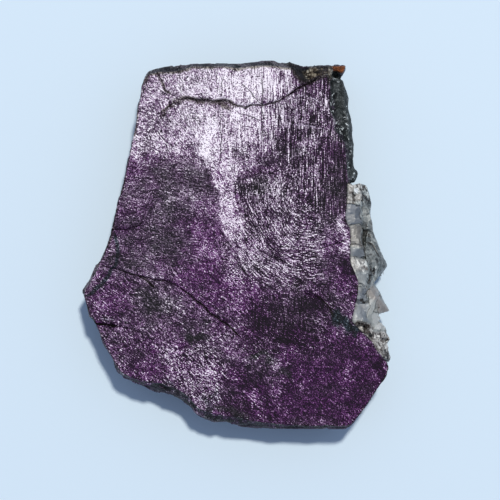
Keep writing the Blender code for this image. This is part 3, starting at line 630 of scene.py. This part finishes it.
def crystal_faces(mesh, size, chosen, seed):
    """Gather the chosen vertices into nearly level patches about as wide as the size. Returns for each one a
    random number for its patch and the step from it to the patch's plane."""
    points = vertex_rows(mesh, "co")[chosen]
    normals = vertex_rows(mesh, "normal")[chosen]
    traits = np.hstack([points / size, normals * 1.3])
    cells = np.floor(points / size)
    centres = cells + 0.2 + 0.6 * np.stack([lattice(cells, seed + i) for i in range(3)], axis=1)
    offset = ((points / size - centres) ** 2).sum(axis=1)
    _, cell_of = np.unique(cells, axis=0, return_inverse=True)
    order = np.lexsort((offset, cell_of.ravel()))
    firsts = order[np.unique(cell_of.ravel()[order], return_index=True)[1]]
    means = traits[firsts]
    patch = np.zeros(len(points), int)
    for _ in range(4):
        sizes = (means ** 2).sum(axis=1)
        for start in range(0, len(points), 4000):
            part = traits[start:start + 4000]
            patch[start:start + 4000] = (sizes - 2 * part @ means.T).argmin(axis=1)
        number = np.maximum(np.bincount(patch, minlength=len(means)), 1)
        sums = np.stack([np.bincount(patch, column, len(means)) for column in traits.T], axis=1)
        means = sums / number[:, None]
    middles = means[:, :3] * size
    facing = means[:, 3:] / np.maximum(np.linalg.norm(means[:, 3:], axis=1), 1e-6)[:, None]
    height = ((points - middles[patch]) * facing[patch]).sum(axis=1)
    tint = lattice(np.stack([patch, patch * 3, patch * 7], axis=1), seed + 9)
    return tint, -height[:, None] * facing[patch]


def set_places(mesh, places):
    mesh.vertices.foreach_set("co", places.astype(np.float32).ravel())
    mesh.update()


def set_values(mesh, **values):
    """Numbers for the material to read by name, one a vertex."""
    for name, numbers in values.items():
        layer = mesh.attributes.new(name, "FLOAT", "POINT")
        layer.data.foreach_set("value", numbers.astype(np.float32))


def new_piece(name, mesh, material, node):
    """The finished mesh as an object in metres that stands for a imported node."""
    mesh.transform(TO_MM.inverted())
    places = np.clip(vertex_rows(mesh, "co"), np.array(cad_low), np.array(cad_high))
    set_places(mesh, places)
    mesh.materials.clear()
    mesh.materials.append(material)
    piece = added(name, mesh)
    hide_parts(node)
    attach(piece, "root")
    return piece


def distances_to(node, points, limit):
    """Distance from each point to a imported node's surface, up to a limit, and the nearest place on it."""
    mesh = bmesh.new()
    mesh.from_mesh(node.data)
    mesh.transform(TO_MM)
    tree = BVHTree.FromBMesh(mesh)
    mesh.free()
    distances = np.full(len(points), limit)
    nearest = points.copy()
    low, high = (np.array(TO_MM @ Vector(corner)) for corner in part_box(node.name))
    close = ((points > low - limit) & (points < high + limit)).all(axis=1)
    for i in np.flatnonzero(close):
        place, _, _, distance = tree.find_nearest(points[i], limit)
        if place is not None:
            distances[i] = distance
            nearest[i] = place
    return distances, nearest


def edge_distances(points, face):
    """How far each place on the face is from the face's edge, seen from above."""
    x, y, z = points.T
    around = np.flatnonzero((face < 0.5) & (z > THICKNESS - 1.2) & (z < THICKNESS - 0.12))
    tree = KDTree(len(around))
    for i in around:
        tree.insert((x[i], y[i], 0), i)
    tree.balance()
    distances = np.zeros(len(points))
    for i in np.flatnonzero(face >= 0.5):
        distances[i] = tree.find((x[i], y[i], 0))[2]
    return distances


# The stone

def stone_relief(mesh):
    """Break up the walls, lay low relief and cracks in the face, and roughen the underside. Returns for each
    vertex how much it belongs to the face and a random number for its facet."""
    points = vertex_rows(mesh, "co")
    normals = vertex_rows(mesh, "normal")
    x, y, z = points.T
    level = ease(normals[:, 2], 0.6, 0.9)
    face = ease(z, 7.82, 7.94) * level
    base = ease(z, 0.35, 0.1) * ease(-normals[:, 2], 0.5, 0.9)
    wall = (1 - face) * (1 - base)
    below = ease(z, 8.0, 6.8)
    steps = (points @ np.array((0.35, 0.2, 1.0))) / 1.15 + 0.4 * noise(points, 2.5, 5)
    steps = steps - np.floor(steps)
    layers = ease(noise(points, 5.0, 6), -0.1, 0.4)
    rough = 0.22 * broken(points, 1.9, 10) + 0.08 * broken(points, 0.8, 20)
    rough -= 0.4 * ease(z, 5.4, 3.2) * (0.6 + broken(points, 3.4, 25))
    rough += 0.22 * layers * (steps ** 2 - 0.35)
    amount = wall * (0.12 + 0.88 * below)
    points += normals * (amount * rough)[:, None]
    set_places(mesh, points)
    chosen = np.flatnonzero(wall > 0.5)
    tint, step = crystal_faces(mesh, 1.3, chosen, seed=140)
    corner = inside(x, y, CORNER, 0.6)
    points[chosen] += step * (0.75 * amount * (1 - corner))[chosen, None]
    points = despiked(mesh, points)
    facet = np.full(len(points), 0.5)
    facet[chosen] = tint
    swell = 0.02 * (1 + noise(points, 3.0, 40)) + 0.014 * (1 + noise(points, 0.9, 41))
    points[:, 2] -= face * swell
    carve_cracks(points)
    points[:, 2] += base * (0.05 + 0.05 * layered(points, 1.4, 50))
    set_places(mesh, points)
    return face, facet


def carve_cracks(points):
    """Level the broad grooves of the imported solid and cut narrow, ragged ones in their place, with the mesh
    drawn in to them."""
    x, y, z = points.T
    wx, wy = wobbled(x, y)
    side, half, foot_x, foot_y = line_field(wx, wy, CRACKS)
    away = np.abs(side)
    corner = np.maximum(inside(x, y, CORNER, 0.1), inside(x, y, CHIP, 0.1))
    near = (away < CRACK_REACH) & (z > THICKNESS - 1.1) & (corner < 0.3)
    drawn = 1 - (away / CRACK_REACH) ** 0.5
    points[:, 0] += np.where(near, (foot_x - wx) * drawn, 0)
    points[:, 1] += np.where(near, (foot_y - wy) * drawn, 0)
    left = away * (1 - drawn)
    depth = 3.0 * half * ease(left, 1.3 * half + 0.02, 0.0)
    points[:, 2] = np.where(near, THICKNESS - 0.03 - depth, z)


def flattened(x, y):
    """Places on the plane Z = 0."""
    return np.stack([x, y, np.zeros_like(x)], axis=1)


def wobbled(x, y):
    """Places nudged a little, so that lines drawn at them are ragged."""
    flat = flattened(x, y)
    return x + 0.11 * layered(flat, 0.9, 60, 4), y + 0.11 * layered(flat, 0.9, 70, 4)


def drifted(x, y, reach=1.0):
    """Places nudged further, so that patches have natural edges."""
    flat = flattened(x, y)
    across, up = (0.6 * noise(flat, 2.8, seed) + 0.45 * noise(flat, 1.3, seed + 1)
                  + 0.32 * noise(flat, 0.6, seed + 2) + 0.2 * noise(flat, 0.32, seed + 3)
                  for seed in (80, 90))
    across = across + (reach - 1) * noise(flat, 5.0, 87)
    up = up + (reach - 1) * noise(flat, 5.0, 97)
    return x + across, y + up


def make_stone():
    mesh = fine_mesh(STONE_NODE, STONE_GRID)
    mesh = thinned_underside(mesh, top=0.25, share=0.74)
    face, facet = stone_relief(mesh)
    points = vertex_rows(mesh, "co")
    x, y, z = points.T
    dx, dy = drifted(x, y)
    wide = drifted(x, y, reach=2.6)
    wx, wy = wobbled(x, y)
    flat = flattened(dx, dy)
    lightness = painted(x + 0.25 * (dx - x), y + 0.25 * (dy - y), painted(dx, dy, 0.36, FACE_TONE_AND_HIGHLIGHT), FLAKES)
    set_values(mesh, facet=facet, domain=0.6 * broken(flat, 1.7, 150) + 0.6 * broken(flat, 0.8, 160),
               lightness=1.2 * lightness ** 1.2, contrast=painted(dx, dy, 0.36, CONTRAST),
               purple=painted(*wide, 0.5, PURPLE), olive=painted(*wide, 0, OLIVE),
               teal=painted(dx, dy, 0, TEAL), upright=painted(dx, dy, 0, UPRIGHT),
               steep=painted(dx, dy, 0, STEEP), shallow=painted(dx, dy, 0, SHALLOW),
               curled=painted(dx, dy, 0, CURLED))
    for name, lines in (("crack", CRACKS), ("hairline", HAIRLINES), ("pale", PALE_LINES), ("vein", VEIN),
                        ("dirt", DIRT)):
        side, half, _, _ = line_field(wx, wy, lines)
        set_values(mesh, **{name + "_side": side, name + "_half": half})
    in_crack = (z > THICKNESS - 0.9) & (np.abs(line_field(wx, wy, CRACKS)[0]) < 0.3)
    crust = np.maximum(inside(wx, wy, GRAINS, 0.3), 0.5 * inside(wx, wy, BROWN, 0.5))
    seam, _ = distances_to(QUARTZ_NODE, points, SEAM_REACH)
    set_values(mesh, face=np.where(in_crack, 1.0, face), height=z, seam=seam,
               from_edge=np.clip(edge_distances(points, face), 0, 3),
               ridge=np.clip(ridges(mesh, 6) / 0.08, -1, 1), edge=np.clip(ridges(mesh, 25) / 0.25, -1, 1),
               rim=inside(dx, dy, RIM, 1.2) * (1 - face) * ease(z + 1.5 * layered(points, 2.0, 97), -2, 6),
               crust=crust * (1 - face) * ease(z + 1.2 * layered(points, 2.0, 95), 4.2, 6.4),
               band=ease(z + 0.7 * layered(points, 1.5, 98), 6.0, 7.4),
               chip=inside(wx, wy, CHIP, 0.2) * ease(z, 4.0, 7.0),
               top=ease(y, 17.6, 18.4) * ease(x, 11.5, 11.0),
               rust=inside(wx, wy, RUST, 0.3) * ease(z, 6.7, 7.2),
               tip=inside(dx, dy, TIP, 1.0) * ease(z + layered(points, 1.6, 96), 3.0, 7.0))
    piece = new_piece("purpurite_stone", mesh, stone_material(), "purpurite_slab")


# The quartz

def make_quartz():
    mesh = fine_mesh(QUARTZ_NODE, QUARTZ_GRID)
    points = vertex_rows(mesh, "co")
    normals = vertex_rows(mesh, "normal")
    seam, nearest = distances_to(STONE_NODE, points, SEAM_REACH)
    join = ease(seam, 0.42, 0.34)
    points += (nearest - points) * (1.3 * join)[:, None]
    side = ease(points[:, 2], 4.8, 2.8)
    tall = points * np.array((1.0, 1.0, 0.45))
    rough = 0.12 * broken(points, 1.1, 110) + side * (0.3 * broken(tall, 1.5, 112) - 0.3)
    rough -= 0.5 * side * (0.7 + broken(tall, 3.0, 118))
    points += normals * ((1 - join) * rough)[:, None]
    set_places(mesh, points)
    free = np.flatnonzero(join < 0.5)
    tint, step = crystal_faces(mesh, 0.75, free, seed=170)
    points[free] += step
    set_places(mesh, points)
    mesh.set_sharp_from_angle(angle=SHARP_ANGLE)
    facet = np.full(len(points), 0.5)
    facet[free] = tint
    set_values(mesh, facet=facet, seam=seam)
    qx = points[:, 0] + 0.2 * layered(points, 0.9, 180, 4)
    qy = points[:, 1] + 0.2 * layered(points, 0.9, 190, 4)
    for name, start, patches in (("light", 0.5, QUARTZ_LIGHT), ("tint", 0.0, QUARTZ_TINT),
                                 ("grain", 0.5, QUARTZ_GRAIN)):
        values = painted(qx, qy, start, patches)
        set_values(mesh, **{name: values + (start - values) * 0.7 * side})
    crease, half, _, _ = line_field(qx, qy, CREASES)
    half *= 1 - 0.9 * side
    cut = ease(np.abs(crease), 1.4 * half, 0.2 * half)
    points[:, 2] -= 1.2 * half * cut * ease(normals[:, 2], 0.2, 0.6)
    set_places(mesh, points)
    set_values(mesh, crease_side=crease, crease_half=half,
               ridge=np.clip(ridges(mesh, 5) / 0.06, -1, 1), edge=np.clip(ridges(mesh, 25) / 0.2, -1, 1))
    piece = new_piece("quartz_crystals", mesh, quartz_material(), "quartz_rim")


# Colours as they look on a screen, from 0 to 255, for values from dark to light

# The near-white top of the violet and charcoal lists is mostly reached in the painted highlight and glints.
VIOLET_TONES = [(0, (8, 2, 10)), (0.15, (38, 8, 44)), (0.3, (86, 36, 92)), (0.5, (136, 88, 142)),
                (0.7, (192, 158, 197)), (0.85, (228, 206, 231)), (1, (254, 246, 254))]
CHARCOAL_TONES = [(0, (6, 5, 8)), (0.15, (32, 27, 36)), (0.3, (77, 65, 81)), (0.5, (133, 116, 136)),
                  (0.7, (190, 172, 191)), (0.85, (227, 211, 229)), (1, (254, 246, 254))]
TEAL_TONES = [(0, (10, 14, 20)), (0.3, (43, 53, 66)), (0.6, (86, 105, 117)), (1, (190, 205, 210))]
DIRT_TONES = [(0, (20, 15, 14)), (0.5, (62, 52, 46)), (1, (112, 98, 90))]
EDGE_WEAR_AND_SHADE_TONES = [(0, (18, 16, 15)), (1, (128, 120, 104))]
WALL_TONES = [(0, (6, 4, 8)), (0.35, (30, 22, 33)), (0.6, (62, 46, 66)), (0.85, (112, 92, 116)),
              (1, (172, 158, 178))]
RIM_TONES = [(0, (10, 11, 12)), (0.4, (47, 51, 51)), (0.7, (95, 98, 97)), (1, (216, 222, 222))]
CRUST_TONES = [(0, (14, 11, 8)), (0.3, (52, 44, 36)), (0.65, (122, 112, 96)), (1, (214, 208, 194))]
RUST_TONES = [(0, (20, 9, 5)), (0.5, (84, 46, 26)), (1, (150, 90, 52))]
TIP_TONES = [(0, (22, 16, 20)), (0.5, (92, 74, 84)), (1, (200, 186, 196))]
QUARTZ_GREYS = [(0, (22, 22, 22)), (0.25, (78, 82, 82)), (0.5, (134, 140, 140)), (0.75, (190, 194, 190)),
                (1, (240, 240, 234))]
QUARTZ_BLUES = [(0, (20, 24, 28)), (0.25, (76, 84, 94)), (0.5, (128, 136, 148)), (0.75, (186, 194, 202)),
                (1, (236, 240, 244))]
QUARTZ_BROWNS = [(0, (22, 17, 15)), (0.25, (90, 79, 73)), (0.5, (148, 139, 135)), (0.75, (198, 190, 184)),
                 (1, (242, 238, 232))]


# Materials

def screen_colour(red, green, blue):
    """A colour given as it looks on a screen, from 0 to 255, as the shader reads it."""
    return tuple((channel / 255) ** 2.2 for channel in (red, green, blue)) + (1.0,)


class Value:
    """What a material works out at each place, with the usual signs for sums, differences and products."""

    def __init__(self, graph, socket):
        self.graph = graph
        self.socket = socket

    def __add__(self, other):
        return self.graph.math("ADD", self, other)

    def __sub__(self, other):
        return self.graph.math("SUBTRACT", self, other)

    def __mul__(self, other):
        return self.graph.math("MULTIPLY", self, other)


class Graph:
    """Short ways to add nodes to one material."""

    def __init__(self, name):
        self.material = bpy.data.materials.new(name)
        self.material.use_nodes = True
        self.tree = self.material.node_tree
        self.shader = self.tree.nodes["Principled BSDF"]
        metres = self.node("ShaderNodeTexCoord", "Object", {})
        self.place = self.node("ShaderNodeVectorMath", 0, {0: metres, "Scale": 1 / MM}, operation="SCALE")

    def fill(self, node, inputs):
        """Give a node's inputs their numbers, colours or values."""
        for name, value in inputs.items():
            if isinstance(value, Value):
                self.tree.links.new(value.socket, node.inputs[name])
            else:
                node.inputs[name].default_value = value

    def node(self, kind, output, inputs, **settings):
        """Add a node and return one of its outputs."""
        node = self.tree.nodes.new(kind)
        for name, setting in settings.items():
            setattr(node, name, setting)
        self.fill(node, inputs)
        return Value(self, node.outputs[output])

    def math(self, operation, *values, clamp=False):
        return self.node("ShaderNodeMath", 0, dict(enumerate(values)), operation=operation, use_clamp=clamp)

    def ease(self, value, low, high, start=0.0, end=1.0):
        """The value carried smoothly from low and high to start and end."""
        inputs = dict(enumerate((value, low, high, start, end)))
        return self.node("ShaderNodeMapRange", 0, inputs, interpolation_type="SMOOTHSTEP")

    def mix(self, part, first, second):
        return self.node("ShaderNodeMix", 2, {0: part, 6: first, 7: second}, data_type="RGBA")

    def value(self, name):
        """A value that was set at each vertex of the mesh."""
        return self.node("ShaderNodeAttribute", "Fac", {}, attribute_name=name)

    def noise(self, size, detail=2.0, place=None, shift=0.0):
        """Noise about 0 with bumps of a size in millimetres."""
        away = (shift, shift * 0.7, shift * 1.3)
        moved = self.node("ShaderNodeVectorMath", 0, {0: place or self.place, 1: away})
        inputs = {"Vector": moved, "Scale": 1 / size, "Detail": detail, "Roughness": 0.55}
        return self.node("ShaderNodeTexNoise", 0, inputs) - 0.5

    def stretched(self, turn, along, across, place):
        """The place drawn out along a direction on the face, given in degrees from X."""
        inputs = {"Vector": place, "Rotation": (0, 0, math.radians(turn)), "Scale": (along, across, across)}
        return self.node("ShaderNodeMapping", 0, inputs, vector_type="TEXTURE")

    def threads(self, turn, along, across, place, shift=0.0):
        """Fine light and dark threads drawn out along a direction."""
        drawn = self.stretched(turn, along, across, place)
        start = turn + shift
        light, dark = (self.ease(self.math("ABSOLUTE", self.noise(1.0, 0.6, drawn, away)), 0.075, 0.01)
                       for away in (start, start + 7))
        return light * 1.7 - dark * 2.2 + self.noise(0.8, 1.0, drawn, start + 3) * 4.2

    def cells(self, size, place=None):
        """Angular grains: a random number from 0 to 1 for each, and how far from its middle a place is."""
        inputs = {"Vector": place or self.place, "Scale": 1 / size}
        colour, reach = (self.node("ShaderNodeTexVoronoi", name, inputs) for name in ("Color", "Distance"))
        return self.node("ShaderNodeSeparateColor", 0, {0: colour}), reach

    def curled(self, middle, reach):
        """The place unrolled round a middle: the way round it, and how far out it is."""
        dx, dy = (self.node("ShaderNodeSeparateXYZ", i, {0: self.place}) - middle[i] for i in (0, 1))
        out = self.math("SQRT", dx * dx + dy * dy) + self.noise(3.2, 1.0, shift=44.0) * 1.9
        return self.node("ShaderNodeCombineXYZ", 0, {0: self.math("ARCTAN2", dy, dx) * reach, 1: out})

    def bent(self, size, amount):
        """The place pushed about by broad noise, so that streaks curve."""
        inputs = {"Vector": self.place, "Scale": 1 / size, "Detail": 1.0}
        push = self.node("ShaderNodeTexNoise", "Color", inputs)
        push = self.node("ShaderNodeVectorMath", 0, {0: push, 1: (0.5, 0.5, 0.5)}, operation="SUBTRACT")
        push = self.node("ShaderNodeVectorMath", 0, {0: push, "Scale": amount}, operation="SCALE")
        return self.node("ShaderNodeVectorMath", 0, {0: self.place, 1: push})

    def ramp(self, value, tones):
        """The colour that a list of tones has for the value."""
        coloured = self.node("ShaderNodeValToRGB", 0, {0: value})
        elements = coloured.socket.node.color_ramp.elements
        while len(elements) < len(tones):
            elements.new(0.5)
        for element, (position, colour) in zip(elements, tones):
            element.position = position
            element.color = screen_colour(*colour)
        return coloured

    def line(self, name):
        """1 on the lines of one set and 0 off them."""
        half = self.value(name + "_half")
        return self.ease(self.math("ABSOLUTE", self.value(name + "_side")), half, half * 0.45)

    def finish(self, height, strength, distance, inputs):
        """Give the shader its inputs, with a height in millimetres as its relief."""
        relief = {"Height": height, "Strength": strength, "Distance": distance * MM}
        self.fill(self.shader, {**inputs, "Normal": self.node("ShaderNodeBump", 0, relief)})
        return self.material


def stone_material():
    g = Graph("purpurite")
    curved = g.bent(3.2, 1.6)
    # Light and dark threads along the face: partly its own striations and partly painted glints of the lamp
    # along them.
    glinting_streaks = g.threads(-38, 1.1, 0.15, curved)
    for name, threads in (("shallow", g.threads(-14, 1.0, 0.13, curved)),
                          ("steep", g.threads(-58, 1.1, 0.14, curved)),
                          ("curled", g.threads(0, 1.5, 0.15, g.curled(CURL_MIDDLE, 8.0), 20.0)),
                          ("upright", g.threads(90, 3.0, 0.17, g.place) * 1.15)):
        glinting_streaks = g.mix(g.value(name), glinting_streaks, threads)
    specks = g.noise(0.11, 1.0)
    # Painted glints: crisp white specks that stand for the lamp glinting on tiny cleavage faces.
    painted_glints = g.ease(g.noise(0.14, 0.0, shift=3.0), 0.08, 0.16)
    pits = g.ease(g.noise(0.14, 0.6, shift=17.0), 0.05, 0.1)
    clots = g.noise(0.7, 3.0, shift=9.0)
    mottle = g.noise(2.0, 3.0, shift=31.0)
    grain = glinting_streaks * 1.1 + specks * 3.4 + painted_glints * 2.0
    contrast = g.value("contrast")
    patchy = grain + clots * 2.2 + g.value("domain") * 1.1
    strength = contrast * patchy + mottle * 0.7 - contrast * contrast
    light = g.value("lightness") * g.math("EXPONENT", strength) * g.ease(pits, 0.0, 1.0, 0.95, 0.28)

    purple = g.math("ADD", g.value("purple"), mottle * 1.6, clamp=True)
    face = g.mix(purple, g.ramp(light, CHARCOAL_TONES), g.ramp(light, VIOLET_TONES))
    face = g.mix(g.value("olive"), face, g.ramp(light, RIM_TONES))
    pale = g.line("pale") * g.ease(specks + clots, -0.1, 0.12)
    face = g.mix(pale * 0.8, face, screen_colour(196, 182, 204))
    teal = g.ramp(light * 0.8 + clots * 0.4 - 0.12, TEAL_TONES)
    face = g.mix(g.value("teal"), face, teal)
    face = g.mix(g.line("vein") * 0.9, face, teal)

    ridge = g.value("ridge")
    band = g.value("band")
    top = g.value("top")
    cleaved = g.threads(-20, 1.2, 0.2, g.bent(2.0, 1.2), 40.0)
    # The walls are painted lighter on ridges and darker in hollows: painted highlight and shade of their
    # relief.
    wall_light = (g.value("facet") * 0.2 + ridge * 0.22 + g.value("edge") * 0.12 + clots * 0.5
                  + specks * 0.5 + mottle * 0.3 + cleaved * 0.05 + band * specks * 1.4 + 0.36)
    weathered = g.ease(g.noise(3.5, 3.0, shift=50.0) + clots * 0.3, -0.06, 0.2)
    weathered = g.math("MAXIMUM", weathered * 0.7, band * 0.8)
    grey = g.ramp(wall_light - band * 0.14 - 0.03, RIM_TONES)
    wall = g.mix(weathered, g.ramp(wall_light, WALL_TONES), grey)
    flecked = g.ease(g.noise(0.9, 2.0, shift=71.0) + specks * 0.3, -0.04, 0.08)
    wall = g.mix(band * flecked * g.ease(top, 0.0, 1.0, 0.85, 0.12), wall, face)
    grain_tone, _ = g.cells(0.42, g.stretched(70, 1.5, 1.0, g.bent(1.2, 0.4)))
    small_tone, small_reach = g.cells(0.26)
    # Painted sparkle: white specks for the lamp glinting on the rim's grains, kept mostly to the upper rim.
    painted_sparkle = g.ease(g.noise(0.28, 1.0, shift=61.0), 0.08, 0.15)
    painted_sparkle = painted_sparkle * g.ease(g.noise(1.1, 1.0, shift=66.0), -0.08, 0.06)
    painted_sparkle = painted_sparkle * g.ease(g.value("height"), 4.8, 7.0, 0.1, 0.7)
    # The rim too is painted lighter on ridges and darker in hollows.
    rim = grain_tone * 0.34 + small_tone * 0.2 + ridge * 0.2 + mottle * 0.5 + specks * 0.8 + painted_sparkle + 0.08
    crust = small_tone * 0.7 - small_reach * 0.75 + clots * 0.8 + 0.42
    for name, tone in (("rim", g.ramp(rim, RIM_TONES)), ("crust", g.ramp(crust, CRUST_TONES)),
                       ("rust", g.ramp(wall_light - 0.05, RUST_TONES)),
                       ("tip", g.ramp(wall_light + 0.1, TIP_TONES))):
        wall = g.mix(g.value(name), wall, tone)

    dirt = g.line("dirt") * g.ease(specks + clots, -0.25, 0.05)
    face = g.mix(dirt * 0.85, face, g.ramp(light * 0.7, DIRT_TONES))
    # The face is painted darker next to its edge, and in a wider band along the top: partly wear and partly
    # painted shade where the face drops to the walls.
    from_edge = g.value("from_edge")
    top_band = g.ease(from_edge + clots * 0.6, 0.5, 0.2) * top
    edge_wear_and_shade = g.math("MAXIMUM", g.ease(from_edge + specks * 0.5, 0.16, 0.02), top_band)
    face = g.mix(edge_wear_and_shade * 0.85, face, g.ramp(light - 0.25, EDGE_WEAR_AND_SHADE_TONES))
    on_face = g.value("face")
    colour = g.mix(on_face, wall, face)
    # The chip's facet is painted almost black all over.
    colour = g.mix(g.value("chip") * 0.8, colour, screen_colour(26, 24, 24))
    ragged = g.ease(specks + clots * 0.6, -0.22, -0.02, 0.45, 1.0)
    cracks = g.math("MAXIMUM", g.line("crack") * ragged, g.line("hairline") * 0.9) * on_face
    colour = g.mix(cracks * 0.92, colour, screen_colour(14, 11, 12))
    # Painted shade: the stone is darkened where it meets the quartz.
    colour = g.mix(g.ease(g.value("seam"), 0.37, 0.29) * 0.85, colour, screen_colour(26, 20, 16))

    shine = g.ease(light + grain * 0.1, 0.1, 0.9, 0.62, 0.34)
    rough = g.ease(on_face, 0.0, 1.0, 0.62, 0.0) + on_face * shine + cracks * 0.3
    relief = glinting_streaks * 0.08 + specks * 0.4 + clots * 0.5 - cracks
    return g.finish(relief, 0.4, 0.1, {"Base Color": colour, "Roughness": rough, "IOR": 1.45,
                                       "Specular IOR Level": 0.15})


def quartz_material():
    g = Graph("quartz")
    cloud = g.noise(1.3, 3.0)
    fine = g.noise(0.22, 2.0, shift=12.0)
    strands = g.cells(0.28, g.stretched(98, 2.2, 1.0, g.bent(1.5, 0.6)))[0] - 0.5
    crumbs = g.cells(0.17)[0] - 0.5
    grainy = g.value("grain")
    # The quartz is painted a little lighter on ridges and darker in hollows: painted highlight and shade of
    # its relief.
    light = (g.value("light") * 0.9 + g.value("facet") * g.ease(grainy, 0.0, 1.0, 0.06, 0.16)
             + cloud * g.ease(grainy, 0.0, 1.0, 0.14, 0.34) + g.value("ridge") * 0.1
             + g.value("edge") * 0.06 + grainy * (crumbs * 0.34 + strands * 0.75 + fine * 0.9) - 0.05)
    tint = g.value("tint")
    colour = g.mix(g.math("MAXIMUM", tint, 0.0), g.ramp(light, QUARTZ_GREYS), g.ramp(light, QUARTZ_BROWNS))
    colour = g.mix(g.math("MAXIMUM", tint * -1.0, 0.0), colour, g.ramp(light, QUARTZ_BLUES))
    dirt = g.ease(g.noise(0.5, 2.0, shift=4.0) + crumbs * 0.2, 0.09, 0.15) * grainy
    colour = g.mix(dirt * 0.8, colour, screen_colour(66, 50, 42))
    crease = g.line("crease")
    colour = g.mix(crease * 0.85, colour, screen_colour(34, 28, 24))
    # Painted shade: the quartz is darkened where it meets the stone, and there it is also rough and not
    # clear.
    seam = g.ease(g.value("seam"), 0.42, 0.28)
    colour = g.mix(seam * 0.85, colour, screen_colour(36, 30, 26))
    rough = g.ease(fine + grainy * 0.2, -0.2, 0.3, 0.3, 0.5)
    rough = g.mix(seam, rough, (0.8, 0.8, 0.8, 1.0))
    clear = g.ease(grainy * 0.8 + crease * 0.8 + seam, 0.0, 1.0, 0.4, 0.0)
    relief = (fine + strands * 0.4) * (grainy + 0.2) + cloud * 0.3
    return g.finish(relief, 0.35, 0.07, {"Base Color": colour, "Roughness": rough, "IOR": 1.544,
                                         "Transmission Weight": clear})


# Stage, light and camera

def place(x, y, z):
    """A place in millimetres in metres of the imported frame."""
    return TO_MM.inverted() @ Vector((x, y, z))


def make_floor():
    mesh = bpy.data.meshes.new("floor")
    signs = ((-1, -1), (1, -1), (1, 1), (-1, 1))
    corners = [(x * FLOOR_REACH, y * FLOOR_REACH, -FLOOR_DROP) for x, y in signs]
    mesh.from_pydata(corners, [], [(0, 1, 2, 3)])
    floor = added("floor", mesh)
    material = bpy.data.materials.new("pale_floor")
    material.use_nodes = True
    shader = material.node_tree.nodes["Principled BSDF"]
    shader.inputs["Base Color"].default_value = FLOOR_COLOUR
    shader.inputs["Roughness"].default_value = 0.85
    shader.inputs["Specular IOR Level"].default_value = 0.2
    mesh.materials.append(material)


def make_light():
    """A round lamp almost overhead, aimed at the middle of the face, and a soft blue light all round."""
    lamp = bpy.data.lights.new("key", "AREA")
    lamp.shape = "DISK"
    lamp.size = LAMP_SIZE
    lamp.energy = LAMP_WATTS
    lamp.color = LAMP_COLOUR
    holder = added("key", lamp)
    toward = LAMP_TOWARD.normalized()
    holder.location = place(0, 0, THICKNESS) + toward * LAMP_DISTANCE
    holder.rotation_euler = (-toward).to_track_quat("-Z", "Y").to_euler()
    world = bpy.data.worlds.new("studio")
    world.use_nodes = True
    background = world.node_tree.nodes["Background"]
    background.inputs["Color"].default_value = WORLD_COLOUR
    background.inputs["Strength"].default_value = WORLD_STRENGTH
    bpy.context.scene.world = world
    bpy.context.scene.view_settings.view_transform = "Standard"


def make_camera():
    data = bpy.data.cameras.new("camera")
    data.lens = LENS_MM
    data.sensor_width = SENSOR_MM
    data.clip_start = 0.01
    data.clip_end = 10.0
    camera = added("camera", data)
    across = LOOK.cross(CAMERA_UP).normalized()
    up = across.cross(LOOK).normalized()
    turn = Matrix((across, up, -LOOK.normalized())).transposed()
    camera.matrix_world = Matrix.Translation(place(*EYE)) @ turn.to_4x4()
    bpy.context.scene.camera = camera


make_camera()
make_stone()
make_quartz()
make_floor()
make_light()
